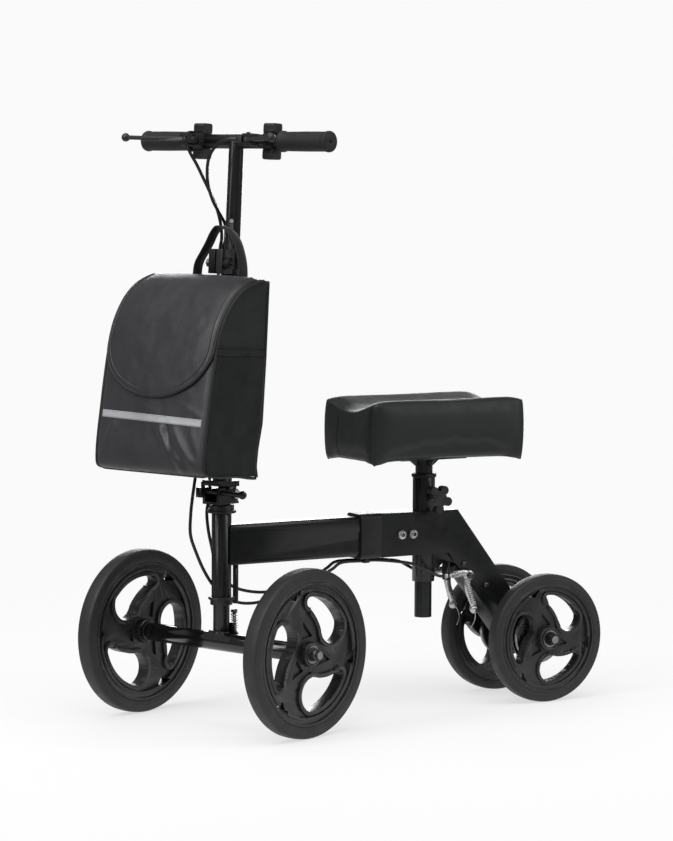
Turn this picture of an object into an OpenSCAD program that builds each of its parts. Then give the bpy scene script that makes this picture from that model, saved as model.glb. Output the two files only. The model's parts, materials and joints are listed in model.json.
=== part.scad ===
// Four-wheel knee scooter: turned steering, folding stem with a bag, padded knee rest, rear brakes.
// +X is forward, +Y is the rider's left, +Z is up. The origin is on the floor under the middle.

/* [Overall] */
// Distance between the front and the rear axle
wheelbase = 548; // [500:1:660]
// Distance between the middles of the two front tyres
front_track = 340; // [300:1:420]
// Distance between the middles of the two rear tyres
rear_track = 138; // [134:1:190]
// Height of the middle of the handlebar, along the stem
handlebar_height = 884; // [860:1:1000]
// Height of the underside of the knee cushion
cushion_height = 394; // [390:1:470]
// Angle that the steering is turned to the left
steer_turn = 18.4; // [0:0.1:25]
// Angle that the stem leans back above the fold
stem_lean = 3.4; // [0:0.1:6]

/* [Wheels] */
// Outside diameter of the front tyres
front_wheel_d = 254; // [220:1:270]
// Width of the front tyres
front_tyre_w = 27; // [24:1:32]
// Outside diameter of the rear tyres
rear_wheel_d = 204; // [190:1:220]
// Width of the rear tyres
rear_tyre_w = 25; // [22:1:30]
// Diameter of both axles
axle_d = 12; // [10:1:14]
// Width of the wheel hubs
hub_w = 30; // [28:1:34]
// Width of one ball bearing
bearing_w = 8; // [6:1:10]

/* [Frame] */
// Width of the main beam
beam_w = 36; // [30:1:44]
// Depth of the main beam
beam_h = 62; // [50:1:64]
// Height of the middle of the main beam
beam_z = 275; // [270:1:285]
// Wall of the steel tubes
wall = 2.5; // [2:0.1:3]
// Length of the head tube
head_tube_len = 128; // [110:1:135]
// Outside diameter of the head tube
head_tube_d = 30; // [29:1:36]
// Length of the plastic collar on the beam
collar_len = 37; // [25:1:45]
// Distance from the rear axle to the front of the rear bracket
bracket_reach = 276; // [270:1:290]
// Diameter of the two bracket bolts
bracket_bolt_d = 8; // [6:1:9]
// Depth of the sloping rear leg
leg_h = 54; // [44:1:58]

/* [Steering and stem] */
// Diameter of the steering column
column_d = 25; // [22:1:25]
// Height of the fold pin
fold_z = 352; // [350:1:356]
// Outside diameter of the lower stem tube
stem_d = 29; // [28:1:32]
// Diameter of the sliding handlebar post
post_d = 23; // [20:1:24]
// Height of the top of the stem clamp, along the stem
clamp_top = 721; // [715:1:740]
// Diameter of the handlebar
bar_d = 22; // [20:1:24]
// Length of the handlebar from end to end
bar_len = 364; // [350:1:440]
// Length of each rubber grip
grip_len = 95; // [85:1:110]
// Outside diameter of the grips
grip_d = 32; // [30:1:36]
// Diameter of the front axle beam
axle_beam_d = 28; // [26:1:32]

/* [Knee rest] */
// Length of the knee cushion
cushion_len = 276; // [240:1:320]
// Width of the knee cushion
cushion_w = 147; // [130:1:170]
// Thickness of the knee cushion
cushion_h = 90; // [70:1:110]
// Outside diameter of the seat tube
seat_tube_d = 35; // [33:1:38]
// Diameter of the sliding seat post
seat_post_d = 27; // [24:1:28]
// Distance from the rear axle to the middle of the seat tube
seat_reach = 186; // [182:1:192]

/* [Bag] */
// Width of the bag
bag_w = 210; // [190:1:240]
// Depth of the bag
bag_depth = 126; // [110:1:130]
// Height of the bag's bottom, along the stem
bag_bottom = 396; // [395:1:420]
// Height of the bag's top at the back, along the stem
bag_top = 672; // [650:1:674]

/* [Fits] */
// Gap between a shaft and the bore it turns or slides in
fit = 0.05; // [0.03:0.01:0.09]
// Gap between pieces that don't touch
gap = 0.5; // [0.4:0.1:0.8]

/* [Hidden] */
$fn = 64;

front_r = front_wheel_d / 2;
rear_r = rear_wheel_d / 2;
axle_r = axle_d / 2;
front_half = front_track / 2;
rear_half = rear_track / 2;
// How far the turned front wheels reach ahead of the steering axis
front_overhang = (front_half + front_tyre_w / 2) * sin(steer_turn) + front_r * cos(steer_turn);
front_x = (wheelbase + rear_r - front_overhang) / 2;
rear_x = front_x - wheelbase;
seat_x = rear_x + seat_reach;

// Main beam, its collar and the bracket that takes its rear end
beam_low = beam_z - beam_h / 2;
beam_top = beam_z + beam_h / 2;
bracket_x = rear_x + bracket_reach;
bracket_w = beam_w + 2 * gap + 2 * wall;
bracket_low = beam_low - gap - wall;
bracket_top = beam_top + gap + wall;
collar_wall = 5;
beam_inset = 68;
beam_rear = bracket_x - beam_inset;
bolt_first = 35;
bolt_pitch = 21;
head_low = beam_z - 79;
head_top = head_low + head_tube_len;
cup_h = 12;
lower_cup_r = 20;
upper_cup_r = 22;
column_r = column_d / 2;
seat_tube_low = bracket_low - 44;
seat_tube_top = bracket_top + 52;
seat_bush_h = 6;
seat_bush_r = seat_tube_d / 2 + 2;
post_low = 140;
leg_angle = 52.3;
leg_top_x = rear_x + 136;
knob_z = bracket_top + 21;
knob_r = 23;

// Axle stack, outwards from the frame's middle
plate_y = 40;
plate_t = 4.5;
drum_t = 6;
drum_r = 43;
nut_r = 9;
nut_t = 8;
washer_t = 1.5;

// Steering column, fold and stem
fork_foot = front_r + axle_beam_d / 2 - 3;
column_top = fold_z - 14;
fold_pin_a = -12;
fold_pin_r = 4;
ear_b = 17;
ear_t = 5;
tongue_r = 8;
tongue_a = fold_pin_a * cos(stem_lean);
tongue_z = fold_z - fold_pin_a * sin(stem_lean);
latch_a = 17;
latch_z = fold_z + 4;
latch_r = 4;
stem_foot = fold_z + 18;
stem_r = stem_d / 2;
post_r = post_d / 2;
clamp_h = 37;
clamp_low = clamp_top - clamp_h;
clamp_r = stem_r + 4.5;
clamp_ear_a = 28;
skewer_r = 3;
post_in = 150;
stop_pin_above = 43;
bar_r = bar_d / 2;
grip_r = grip_d / 2;
grip_out = bar_len / 2 + 5;
clamp_b = 71;
pivot_a = 44;
pivot_b = 63;
lever_a = 43;
lever_b = 85;
pivot_r = 3;
perch_t = 5;

// Bag, in the stem's own frame
bag_back = 36;
bag_corner = 22;
bag_wall = 3;
bag_half = bag_w / 2;
flap_t = 2.2;
flap_low = bag_bottom + 92;
flap_half = bag_half - 4;
mouth_back = bag_top - 8;
mouth_front = bag_top - 72;
strap_t = 2.5;
handle_half = 46;
handle_rise = 82;

// Seat
plate_t2 = 4;
plate_z = cushion_height - plate_t2;
board_t = 5;
board_in = 20;

// Brake arms beside the front of the leg
arm_x = rear_x + 118;
arm_z = 204;
arm_y = 27;
arm_pin_r = 3;
adjuster_x = rear_x + 151;
adjuster_z = 206;

// Brake cables
cable_r = 2.5;
cable_sides = 8;
clip_hole_z = beam_low - collar_wall - 3;

// Routes of the two brake cables, points chosen by hand. The first two pairs are in the stem's own
// frame, the third is offset from the steering axis and the last from the rear axle.
upper_left = [[46, 44, 884], [51, 28, 884], [52, 10, 877], [50, -6, 862], [46, -15, 844],
    [39, -19, 818], [26, -20, 794], [10, -19, 774], [-2, -18, 758], [-6, -20, 737.4]];
upper_right = [[46, -58, 873], [42, -54, 862], [36, -46, 846], [30, -37, 826], [22, -30, 806],
    [12, -26, 786], [2, -26, 766], [-4, -27, 748], [-6, -28, 737.4]];
stem_left = [[-6, -20, 736], [-7, -25, 724], [-8, -26, 700], [-8, -25, 670], [-4, -22, 600],
    [-2, -21, 520], [2, -22, 450], [4, -24, 405], [4, -25, 374], [4, -25, 346]];
stem_right = [[-6, -28, 736], [-8, -32, 724], [-8, -33, 700], [-6, -32, 670], [0, -29, 600],
    [8, -28, 520], [18, -28, 450], [25, -29, 405], [29, -29, 374], [33, -29, 346]];
lower_left = [[14, -21, 324], [13, -18, 296], [7, -18, 270], [0, -20, 245], [-12, -20, 224],
    [-34, -17, 205], [-76, -12, 196], [-120, -4, 201], [-160, 3, 212], [-190, 7, 226],
    [-208, 8, clip_hole_z], [-250, 8, clip_hole_z]];
lower_right = [[45, -15, 320], [45, -15, 290], [33, -17, 260], [20, -19, 235], [5, -20, 213],
    [-12, -20, 196], [-32, -17, 184], [-64, -14, 180], [-110, -13, 188], [-155, -12, 206],
    [-190, -9, 226], [-208, -8, clip_hole_z], [-250, -8, clip_hole_z]];
rear_left = [[297, 8, clip_hole_z], [280, 8, clip_hole_z], [250, 12, 233], [220, 20, 228],
    [198, 26, 218], [182, 27, 210], [170, 27, 206], [152, 27, 206]];
rear_right = [[297, -8, clip_hole_z], [280, -8, clip_hole_z], [250, -12, 233], [220, -20, 228],
    [198, -26, 218], [182, -27, 210], [170, -27, 206], [152, -27, 206]];

// ---- helpers ----
module on_steering() translate([front_x, 0, 0]) rotate([0, 0, steer_turn]) children();
module on_stem() on_steering() translate([0, 0, fold_z]) rotate([0, -stem_lean, 0])
    translate([0, 0, -fold_z]) children();
module across(a, z, len, r, b = 0) translate([a, b, z]) rotate([90, 0, 0])
    cylinder(h = len, r = r, center = true);
module ahead(a, b, z, len, r) translate([a, b, z]) rotate([0, 90, 0]) cylinder(h = len, r = r);
module sided(side) if (side > 0) children(); else mirror([0, 1, 0]) children();
module hex_across(y0, len, r, x = 0, z = 0) translate([x, y0, z]) rotate([-90, 0, 0])
    cylinder(h = len, r = r, $fn = 6);
module rounded_box(x0, x1, w, z0, z1, r) translate([x0, 0, (z0 + z1) / 2]) rotate([0, 90, 0])
    linear_extrude(x1 - x0) rounded_rect(z1 - z0, w, r);
module rounded_rect(h, w, r) {
    square([h - 2 * r, w], center = true);
    square([h, w - 2 * r], center = true);
    for (i = [-1, 1], j = [-1, 1]) translate([i * (h / 2 - r), j * (w / 2 - r)]) circle(r);
}

// A point of the stem's frame and a point of the steering's frame, in the part's frame
function turned(p) = [front_x + cos(steer_turn) * p[0] - sin(steer_turn) * p[1],
    sin(steer_turn) * p[0] + cos(steer_turn) * p[1], p[2]];
function leaned(p) = turned([cos(stem_lean) * p[0] - sin(stem_lean) * (p[2] - fold_z), p[1],
    fold_z + sin(stem_lean) * p[0] + cos(stem_lean) * (p[2] - fold_z)]);
function shifted(list, x) = [for (p = list) [p[0] + x, p[1], p[2]]];
function on_stem_points(list) = [for (p = list) leaned(p)];
function lower_end(list) = leaned(list[len(list) - 1] - [0, 0, 1.4]);

function unit(v) = v / norm(v);
function tangent(p, i) = unit(p[min(i + 1, len(p) - 1)] - p[max(i - 1, 0)]);
function ring(p, i, r) =
    let (t = tangent(p, i), u = unit(cross(t, abs(t[0]) < 0.9 ? [1, 0, 0] : [0, 1, 0])), v = cross(t, u))
    [for (k = [0:cable_sides - 1])
        p[i] + r * (cos(360 * k / cable_sides) * u + sin(360 * k / cable_sides) * v)];
// A tube of cable_sides sides swept along the points p
module sweep(p, r) {
    n = len(p);
    s = cable_sides;
    points = [for (i = [0:n - 1]) each ring(p, i, r)];
    sides = [for (i = [0:n - 2], k = [0:s - 1], half = [0, 1])
        let (a = i * s + k, b = i * s + (k + 1) % s)
        half == 0 ? [a, a + s, b + s] : [a, b + s, b]];
    ends = [[for (k = [0:s - 1]) k], [for (k = [s - 1:-1:0]) (n - 1) * s + k]];
    polyhedron(points, concat(ends, sides));
}

// ---- frame ----
module main_frame() color("#1c1d1f") difference() {
    union() {
        translate([front_x, 0, head_low]) cylinder(h = head_tube_len, d = head_tube_d);
        difference() {
            rounded_box(beam_rear, front_x - column_r / 2, beam_w, beam_low, beam_top, 8);
            rounded_box(beam_rear - 1, front_x - head_tube_d, beam_w - 2 * wall,
                beam_low + wall, beam_top - wall, 8 - wall);
        }
    }
    translate([front_x, 0, head_low - 1]) cylinder(h = head_tube_len + 2, r = column_r + gap);
    bracket_bolt_holes();
}

module bracket_bolt_holes() for (i = [0, 1])
    across(bracket_x - bolt_first - i * bolt_pitch, beam_z, 2 * bracket_w, bracket_bolt_d / 2 + fit);

module beam_collar() color("#26272a") difference() {
    rounded_box(bracket_x + gap, bracket_x + gap + collar_len, beam_w + 2 * collar_wall,
        beam_low - collar_wall + 1, beam_top + collar_wall - 1, 8);
    rounded_box(bracket_x, bracket_x + collar_len + 1, beam_w + 2 * fit, beam_low - fit, beam_top + fit, 8);
}

// Side outline of the rear bracket: the box that takes the beam, the sloping leg and its round foot
module rear_outline(inset = 0) {
    translate([leg_top_x, bracket_low + inset])
        square([bracket_x - leg_top_x - (inset > 0 ? beam_inset + 4 : 0),
            bracket_top - bracket_low - 2 * inset]);
    translate([leg_top_x, bracket_top]) rotate(180 + leg_angle) {
        translate([inset, inset]) square([250 - 2 * inset, leg_h - 2 * inset]);
        translate([247, leg_h / 2]) circle(leg_h / 2 - inset);
    }
}

module rear_frame() color("#1c1d1f") difference() {
    union() {
        rotate([90, 0, 0]) linear_extrude(bracket_w, center = true) rear_outline();
        gusset();
        translate([seat_x, 0, seat_tube_low]) cylinder(h = seat_tube_top - seat_tube_low, d = seat_tube_d);
        across(rear_x, rear_r, 2 * (plate_y - gap), 16);
        translate([seat_x, seat_tube_d / 2 - 3, knob_z]) rotate([-90, 0, 0]) cylinder(h = 9, r = 8);
        across(arm_x, arm_z, 2 * arm_y + 12, arm_pin_r);
        for (s = [-1, 1]) translate([adjuster_x + 5, s * (arm_y - 5) - 9, adjuster_z - 7]) cube([3, 18, 30]);
    }
    difference() {
        rotate([90, 0, 0]) linear_extrude(bracket_w - 2 * wall, center = true) rear_outline(wall);
        translate([seat_x, 0, seat_tube_low]) cylinder(h = seat_tube_top - seat_tube_low, d = seat_tube_d);
        across(rear_x, rear_r, bracket_w, 16);
    }
    translate([bracket_x - beam_inset - 1, -beam_w / 2 - gap, beam_low - gap])
        cube([beam_inset + 2, beam_w + 2 * gap, beam_h + 2 * gap]);
    translate([seat_x, 0, seat_tube_low - 1])
        cylinder(h = seat_tube_top - seat_tube_low + 2, d = seat_post_d + 2 * fit);
    across(rear_x, rear_r, 2 * plate_y + 2, axle_r + fit);
    translate([seat_x, 0, knob_z]) rotate([-90, 0, 0]) cylinder(h = seat_tube_d, r = 4 + fit);
    for (s = [-1, 1]) ahead(adjuster_x, s * arm_y, adjuster_z, 14, 3.6 + fit);
    bracket_bolt_holes();
}

module gusset() rotate([90, 0, 0]) linear_extrude(bracket_w - 12, center = true) difference() {
    polygon([[seat_x, bracket_low + 1], [seat_x, bracket_low - 26], [seat_x - 64, bracket_low - 34],
        [seat_x - 60, bracket_low + 1]]);
    translate([seat_x - 36, bracket_low - 33]) circle(19);
    translate([seat_x - 36 - 19, bracket_low - 60]) square([38, 27]);
    translate([seat_x - 36, bracket_low - 60]) square([38, 36]);
}

module bracket_bolts() color("silver") for (i = [0, 1])
    translate([bracket_x - bolt_first - i * bolt_pitch, 0, beam_z]) {
        difference() {
            union() {
                rotate([90, 0, 0]) cylinder(h = bracket_w + 16, d = bracket_bolt_d, center = true);
                translate([0, bracket_w / 2, 0]) rotate([-90, 0, 0])
                    cylinder(h = 5, r = bracket_bolt_d * 0.85);
            }
            hex_across(bracket_w / 2 + 2, 8, bracket_bolt_d * 0.45);
            translate([0, -bracket_w / 2 - 10, 0]) rotate([90, 0, 0]) cylinder(h = 9, r = bracket_bolt_d);
        }
        difference() {
            hex_across(-bracket_w / 2 - 7, 7, bracket_bolt_d * 0.9);
            rotate([90, 0, 0]) cylinder(h = bracket_w + 20, d = bracket_bolt_d + 2 * fit, center = true);
        }
    }

module headset_cups() color("#202124") translate([front_x, 0, 0]) {
    cup(head_low - cup_h, lower_cup_r, cup_h, head_low - 4);
    cup(head_top, upper_cup_r, cup_h, head_top);
}

// A turned cup whose wide lip of 4 mm starts at lip_z
module cup(z, r, h, lip_z) difference() {
    union() {
        translate([0, 0, z]) cylinder(h = h, r = r - 3);
        translate([0, 0, lip_z]) cylinder(h = 4, r = r);
    }
    translate([0, 0, z - 1]) cylinder(h = h + 2, r = column_r + fit);
}

module seat_tube_bushing() color("#26272a") translate([seat_x, 0, seat_tube_top]) difference() {
    cylinder(h = seat_bush_h, r = seat_bush_r);
    translate([0, 0, -1]) cylinder(h = seat_bush_h + 2, d = seat_post_d + 2 * fit);
}

module rear_axle() color("silver") across(rear_x, rear_r, 2 * (rear_half + hub_w / 2 + 14), axle_r);

// A washer and a hexagon nut on each end of an axle, outside hubs at half from the middle
module end_nuts(half) for (s = [-1, 1]) sided(s) translate([0, half + hub_w / 2 + gap, 0]) difference() {
    union() {
        rotate([-90, 0, 0]) cylinder(h = washer_t, r = nut_r + 2);
        hex_across(washer_t, nut_t, nut_r);
    }
    rotate([-90, 0, 0]) translate([0, 0, -1]) cylinder(h = nut_t + 6, r = axle_r + fit);
}

module rear_axle_nuts() color("#3a3b3d") translate([rear_x, 0, rear_r]) end_nuts(rear_half);

module brake_backing_plates() color("#202124") for (s = [-1, 1]) translate([rear_x, s * plate_y, rear_r])
    rotate([-90 * s, 0, 0]) difference() {
        union() {
            cylinder(h = plate_t, r = drum_r + 2);
            translate([0, 0, -plate_y + bracket_w / 2 + gap])
                difference() {
                    cylinder(h = plate_y - bracket_w / 2, r = 20);
                    translate([0, 0, -1]) cylinder(h = plate_y - bracket_w / 2 + 1, r = 16 + fit);
                }
        }
        translate([0, 0, -50]) cylinder(h = 100, r = axle_r + fit);
    }

module cable_clip() color("#202124") translate([bracket_x + 22, 0, beam_low - collar_wall]) difference() {
    translate([-5, -13, -6]) cube([10, 26, 6 + 1 - fit]);
    for (s = [-1, 1]) ahead(-6, s * 8, -3, 12, cable_r + 0.2);
}

module cable_guide_bar() color("#202124") translate([front_x - 28, -3, head_low - cup_h])
    cube([7, 6, beam_low - head_low + cup_h - fit]);

// ---- steering ----
module steering_column() color("#1c1d1f") difference() {
    union() {
        translate([front_x, 0, fork_foot]) cylinder(h = column_top - fork_foot, r = column_r);
        on_steering() {
            translate([-20, -ear_b, column_top]) cube([44, 2 * ear_b, 4]);
            for (s = [-1, 1]) translate([0, s * (ear_b - ear_t / 2) - ear_t / 2, column_top]) {
                translate([-18, 0, 0]) cube([28, ear_t, fold_z - column_top + 8]);
                translate([9, 0, 0]) cube([15, ear_t, fold_z - column_top + 11]);
            }
        }
    }
    translate([front_x, 0, fork_foot - 1]) cylinder(h = column_top - fork_foot - 10, r = column_r - 3);
    on_steering() {
        across(fold_pin_a, fold_z, 60, fold_pin_r + fit);
        across(latch_a, latch_z, 60, latch_r + fit);
    }
}

module front_axle_beam() color("#17181a") on_steering() difference() {
    half = front_half - hub_w / 2 - 5;
    union() {
        across(0, front_r, 2 * half, axle_beam_d / 2);
        saddle();
    }
    for (s = [-1, 1]) translate([0, s * (half - 15) + (s < 0 ? -16 : 0), front_r]) rotate([-90, 0, 0])
        cylinder(h = 16, r = axle_r + fit);
    across(0, front_r, 2 * half - 30, axle_beam_d / 2 - wall);
    translate([0, 0, fork_foot]) cylinder(h = 60, r = column_r + fit);
}

// Curved plates that brace the column against the axle beam
module saddle() for (a = [-17, 13]) translate([a + 4, 0, front_r]) rotate([90, 0, -90])
    linear_extrude(4) intersection() {
        union() {
            for (s = [-1, 1]) translate([s * 30, 4]) circle(30);
            translate([-30, 0]) square([60, 30]);
        }
        translate([-60, 4]) square([120, 30]);
    }

module front_axle() color("silver") on_steering()
    across(0, front_r, 2 * (front_half + hub_w / 2 + 14), axle_r);

module front_axle_nuts() color("#8a8c90") on_steering() translate([0, 0, front_r]) {
    end_nuts(front_half);
    for (s = [-1, 1]) difference() {
        translate([0, s * (front_half - hub_w / 2 - 2.7), 0]) rotate([90, 0, 0])
            cylinder(h = 4, r = axle_beam_d / 2 + 1, center = true);
        rotate([90, 0, 0]) cylinder(h = 2 * front_half, r = axle_r + fit, center = true);
    }
}

module fold_pin() color("silver") on_steering() {
    across(fold_pin_a, fold_z, 2 * ear_b + 8, fold_pin_r);
    for (s = [-1, 1]) across(fold_pin_a, fold_z, 3, 7, s * (ear_b + 2.5));
}

module fold_latch() color("#1c1d1f") on_steering() {
    across(latch_a, latch_z, 74, latch_r, 19);
    translate([latch_a, 58, latch_z]) sphere(r = 6.5);
    translate([latch_a - 8, -30, latch_z - 9]) cube([16, 12, 15]);
    translate([latch_a - 3, -24, latch_z + 5]) cube([6, 3, 10]);
}

// ---- stem ----
module stem_tube() color("#1c1d1f") on_stem() difference() {
    union() {
        translate([0, 0, stem_foot]) cylinder(h = clamp_low - stem_foot, r = stem_r);
        across(tongue_a, tongue_z, 2 * (ear_b - ear_t - gap), tongue_r);
        translate([tongue_a - tongue_r, -ear_b + ear_t + gap, tongue_z])
            cube([2 * tongue_r, 2 * (ear_b - ear_t - gap), stem_foot - tongue_z]);
        translate([-20, -ear_b, stem_foot - 5]) cube([46, 2 * ear_b, 8]);
    }
    translate([0, 0, stem_foot + 20]) cylinder(h = clamp_top, r = post_r + fit);
    across(tongue_a, tongue_z, 60, fold_pin_r + fit);
}

module stem_clamp() color("#232427") on_stem() difference() {
    union() {
        translate([0, 0, clamp_low]) cylinder(h = clamp_h, r = clamp_r);
        translate([8, -14, clamp_low]) cube([clamp_ear_a, 28, clamp_h]);
    }
    translate([0, 0, clamp_low - 1]) cylinder(h = clamp_h + 2, r = post_r + fit);
    translate([post_r - 2, -1.5, clamp_low - 1]) cube([40, 3, clamp_h + 2]);
    across(clamp_ear_a, clamp_low + 16, 60, skewer_r + fit);
}

module clamp_skewer() color("silver") on_stem() {
    across(clamp_ear_a, clamp_low + 16, 46, skewer_r, 6);
    translate([clamp_ear_a, -14.2, clamp_low + 16]) rotate([90, 0, 0]) cylinder(h = 7, r = 7, $fn = 6);
}

module clamp_lever() color("#232427") on_stem() difference() {
    union() {
        across(clamp_ear_a, clamp_low + 16, 10, 9, 22);
        translate([clamp_ear_a - 5, 24, clamp_low + 8]) cube([10, 12, 12]);
        translate([clamp_ear_a - 5, 30, clamp_low + 8]) cube([10, 6, 30]);
    }
    across(clamp_ear_a, clamp_low + 16, 36, skewer_r + 1, 14);
    translate([clamp_ear_a - 8, 14, clamp_low + 12]) cube([16, 17, 8]);
}

// ---- bag ----
// Rounded block of the bag; t > 0 grows it, t < 0 shrinks it
module bag_block(t = 0) hull() for (b = [-1, 1]) {
    c = bag_corner;
    y = b * (bag_half - c);
    translate([bag_back + c, y, bag_bottom + c]) sphere(r = c + t, $fn = 24);
    translate([bag_back + bag_depth - c, y, bag_bottom + c]) sphere(r = c + t, $fn = 24);
    translate([bag_back + bag_depth - c - 14, y, bag_bottom + 190]) sphere(r = c + t, $fn = 24);
    translate([bag_back + 62, y, bag_top - c - 6]) sphere(r = c + t, $fn = 24);
    translate([bag_back + c, y, bag_top - c]) sphere(r = c + t, $fn = 24);
}

module bag_body() color("#2a2a2e") on_stem() difference() {
    bag_block();
    bag_block(-bag_wall);
    rotate([90, 0, 0]) linear_extrude(2 * bag_w, center = true)
        polygon([[bag_back + bag_corner + 4, mouth_back - 6], [bag_back + 60, mouth_back - 12],
            [bag_back + bag_depth + 30, mouth_front], [bag_back + bag_depth + 30, bag_top + 60],
            [bag_back + bag_corner + 4, bag_top + 60]]);
}

module bag_flap() color("#303036") on_stem() intersection() {
    difference() {
        bag_block(flap_t + 0.4);
        bag_block(0.4);
    }
    rotate([90, 0, 90]) linear_extrude(400) {
        translate([-flap_half, flap_low + flap_half * 0.9]) square([2 * flap_half, 400]);
        translate([0, flap_low + flap_half * 0.9]) scale([1, 0.9]) circle(flap_half);
    }
    translate([bag_back + bag_corner, -flap_half, flap_low - 10]) cube([400, 2 * flap_half, 400]);
}

module bag_handle() color("#202124") on_stem() rotate([90, 0, 90]) translate([0, 0, bag_back - 20])
    linear_extrude(18) difference() {
        handle_outline(strap_t);
        handle_outline(0);
    }

module handle_outline(t) {
    translate([-handle_half - t, bag_top - 16])
        square([2 * (handle_half + t), handle_rise - handle_half + 16]);
    translate([0, bag_top + handle_rise - handle_half]) circle(handle_half + t);
}

module bag_straps() color("#202124") on_stem() for (z = [470, 600]) difference() {
    union() {
        translate([0, 0, z]) cylinder(h = 25, r = stem_r + 0.3 + strap_t);
        translate([0, -15, z]) cube([bag_back - 0.2, 30, 25]);
    }
    translate([0, 0, z - 1]) cylinder(h = 27, r = stem_r + fit);
    translate([0, -15 + strap_t, z - 1]) cube([bag_back - strap_t, 30 - 2 * strap_t, 27]);
}

// ---- handlebar ----
module handlebar() color("#1c1d1f") on_stem() difference() {
    union() {
        translate([0, 0, clamp_low - post_in])
            cylinder(h = handlebar_height - clamp_low + post_in, r = post_r);
        across(0, handlebar_height, bar_len, bar_r);
    }
    translate([0, 0, clamp_low - post_in - 1])
        cylinder(h = handlebar_height - clamp_low + post_in - bar_r, r = post_r - wall);
    across(0, handlebar_height, bar_len + 2, bar_r - wall);
    rotate([0, 0, 30]) ahead(post_r - wall - 2, 0, clamp_top + stop_pin_above, 6, 3 + fit);
}

module post_stop_pin() color("silver") on_stem() rotate([0, 0, 30])
    ahead(post_r - wall - 0.5, 0, clamp_top + stop_pin_above, wall + 1.5, 3);

module grip(side) color("#2e2f31") on_stem() translate([0, 0, handlebar_height]) sided(side) difference() {
    union() {
        translate([0, grip_out, 0]) rotate([90, 0, 0]) cylinder(h = grip_len, r = grip_r - 1.5);
        translate([0, grip_out - 1, 0]) rotate([90, 0, 0]) cylinder(h = 5, r = grip_r);
        translate([0, grip_out - grip_len + 4, 0]) rotate([90, 0, 0]) cylinder(h = 4, r = grip_r);
    }
    translate([0, bar_len / 2 + fit, 0]) rotate([90, 0, 0]) cylinder(h = grip_len + 1, r = bar_r + fit);
    translate([0, grip_out + 1, 0]) rotate([90, 0, 0]) cylinder(h = 20, r = 2);
}

// Clamp round the bar with a boss above and below, and the arm that holds the lever's pivot
module lever_perch(side) color("#232427") on_stem() translate([0, 0, handlebar_height])
    sided(side) difference() {
    union() {
        across(0, 0, 18, bar_r + 4, clamp_b);
        for (s = [-1, 1]) translate([-1, clamp_b, s * 19]) rotate([0, 0, 90])
            rounded_box(-10, 10, 20, -8, 8, 4);
        translate([bar_r, clamp_b - 9, -7]) cube([pivot_a - bar_r - 9, 18, 14]);
        for (s = [-1, 1]) translate([pivot_a - 13, pivot_b - 8, s * 6.5 - 2.5]) cube([18, 18, perch_t]);
        translate([pivot_a - 19, clamp_b - 27, -9]) cube([10, 26, 18]);
        translate([pivot_a - 12, pivot_b - 16, -5]) cube([18, 8, 10]);
        across(pivot_a + 2, 0, 10, 4, pivot_b - 14);
    }
    across(0, 0, 60, bar_r + fit, clamp_b);
    translate([pivot_a, pivot_b, -20]) cylinder(h = 40, r = pivot_r + fit);
}

module brake_lever(side) color("#2a2b2d") on_stem() translate([0, 0, handlebar_height])
    sided(side) translate([pivot_a, pivot_b, 0]) {
        reach = norm([lever_a, lever_b]);
        cylinder(h = 22, r = pivot_r, center = true);
        cylinder(h = 7, r = 7, center = true);
        rotate([0, 0, atan2(lever_b, lever_a)]) {
            translate([0, -5, -3]) cube([reach, 10, 6]);
            translate([reach, 0, 0]) sphere(r = 6.5);
        }
    }

// ---- wheels ----
// One comma-shaped opening between two swirl spokes, of a wheel of radius r, grown by g
module comma(r, g) intersection() {
    circle(0.675 * r + g);
    union() {
        translate([0.39 * r, 0.29 * r]) circle(0.207 * r + g);
        difference() {
            polygon([[0, 0], [0.8 * r, 0.594 * r], [0.8 * r, r], [0, r]]);
            translate([-0.43 * r, 0.03 * r]) circle(0.66 * r - g);
        }
        translate([0, 0.612 * r]) circle(0.062 * r + g);
    }
}

// The small three-cornered opening at the rim where two spokes meet
module corner_hole(r) polygon([for (c = [[0.79, 103], [0.77, 119], [0.68, 109]])
    c[0] * r * [cos(c[1]), sin(c[1])]]);

module turned_thrice(phase) for (i = [0:2]) rotate(phase + 120 * i) children();

// Plastic wheel with its outer face towards +Y
module wheel(r, w, phase) color("#262628") rotate([90, 0, 0]) mirror([1, 0, 0]) difference() {
    union() {
        linear_extrude(12, center = true) circle(0.78 * r);
        linear_extrude(w - 7, center = true) turned_thrice(phase) intersection() {
            circle(0.78 * r);
            difference() {
                comma(r, 0.05 * r);
                comma(r, 0);
            }
        }
        rotate_extrude() translate([0.74 * r, -(w - 5) / 2]) square([0.04 * r, w - 5]);
        rotate_extrude() translate([0.78 * r, -(w - 8) / 2]) square([0.04 * r, w - 8]);
        rotate_extrude() translate([0.82 * r, -(w - 3) / 2]) square([0.03 * r, w - 3]);
        cylinder(h = hub_w, r = 19, center = true);
    }
    linear_extrude(w + 20, center = true) turned_thrice(phase) comma(r, 0);
    linear_extrude(w + 20, center = true) turned_thrice(phase) corner_hole(r);
    cylinder(h = hub_w + 2, r = axle_r + 2, center = true);
    for (s = [-1, 1]) translate([0, 0, s * (hub_w / 2 - bearing_w / 2 + 0.5)])
        cylinder(h = bearing_w + 1, r = axle_r + 7 + fit, center = true);
}

module tyre(r, w) color("#343536") rotate([90, 0, 0]) rotate_extrude($fn = 128) {
    inner = 0.85 * r + fit;
    shoulder = 0.32 * w;
    translate([inner, -w / 2 + 1]) square([r - shoulder - inner, w - 2]);
    intersection() {
        translate([inner, -w / 2]) square([r - inner, w]);
        translate([r - 0.62 * w, 0]) circle(0.62 * w);
    }
}

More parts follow.
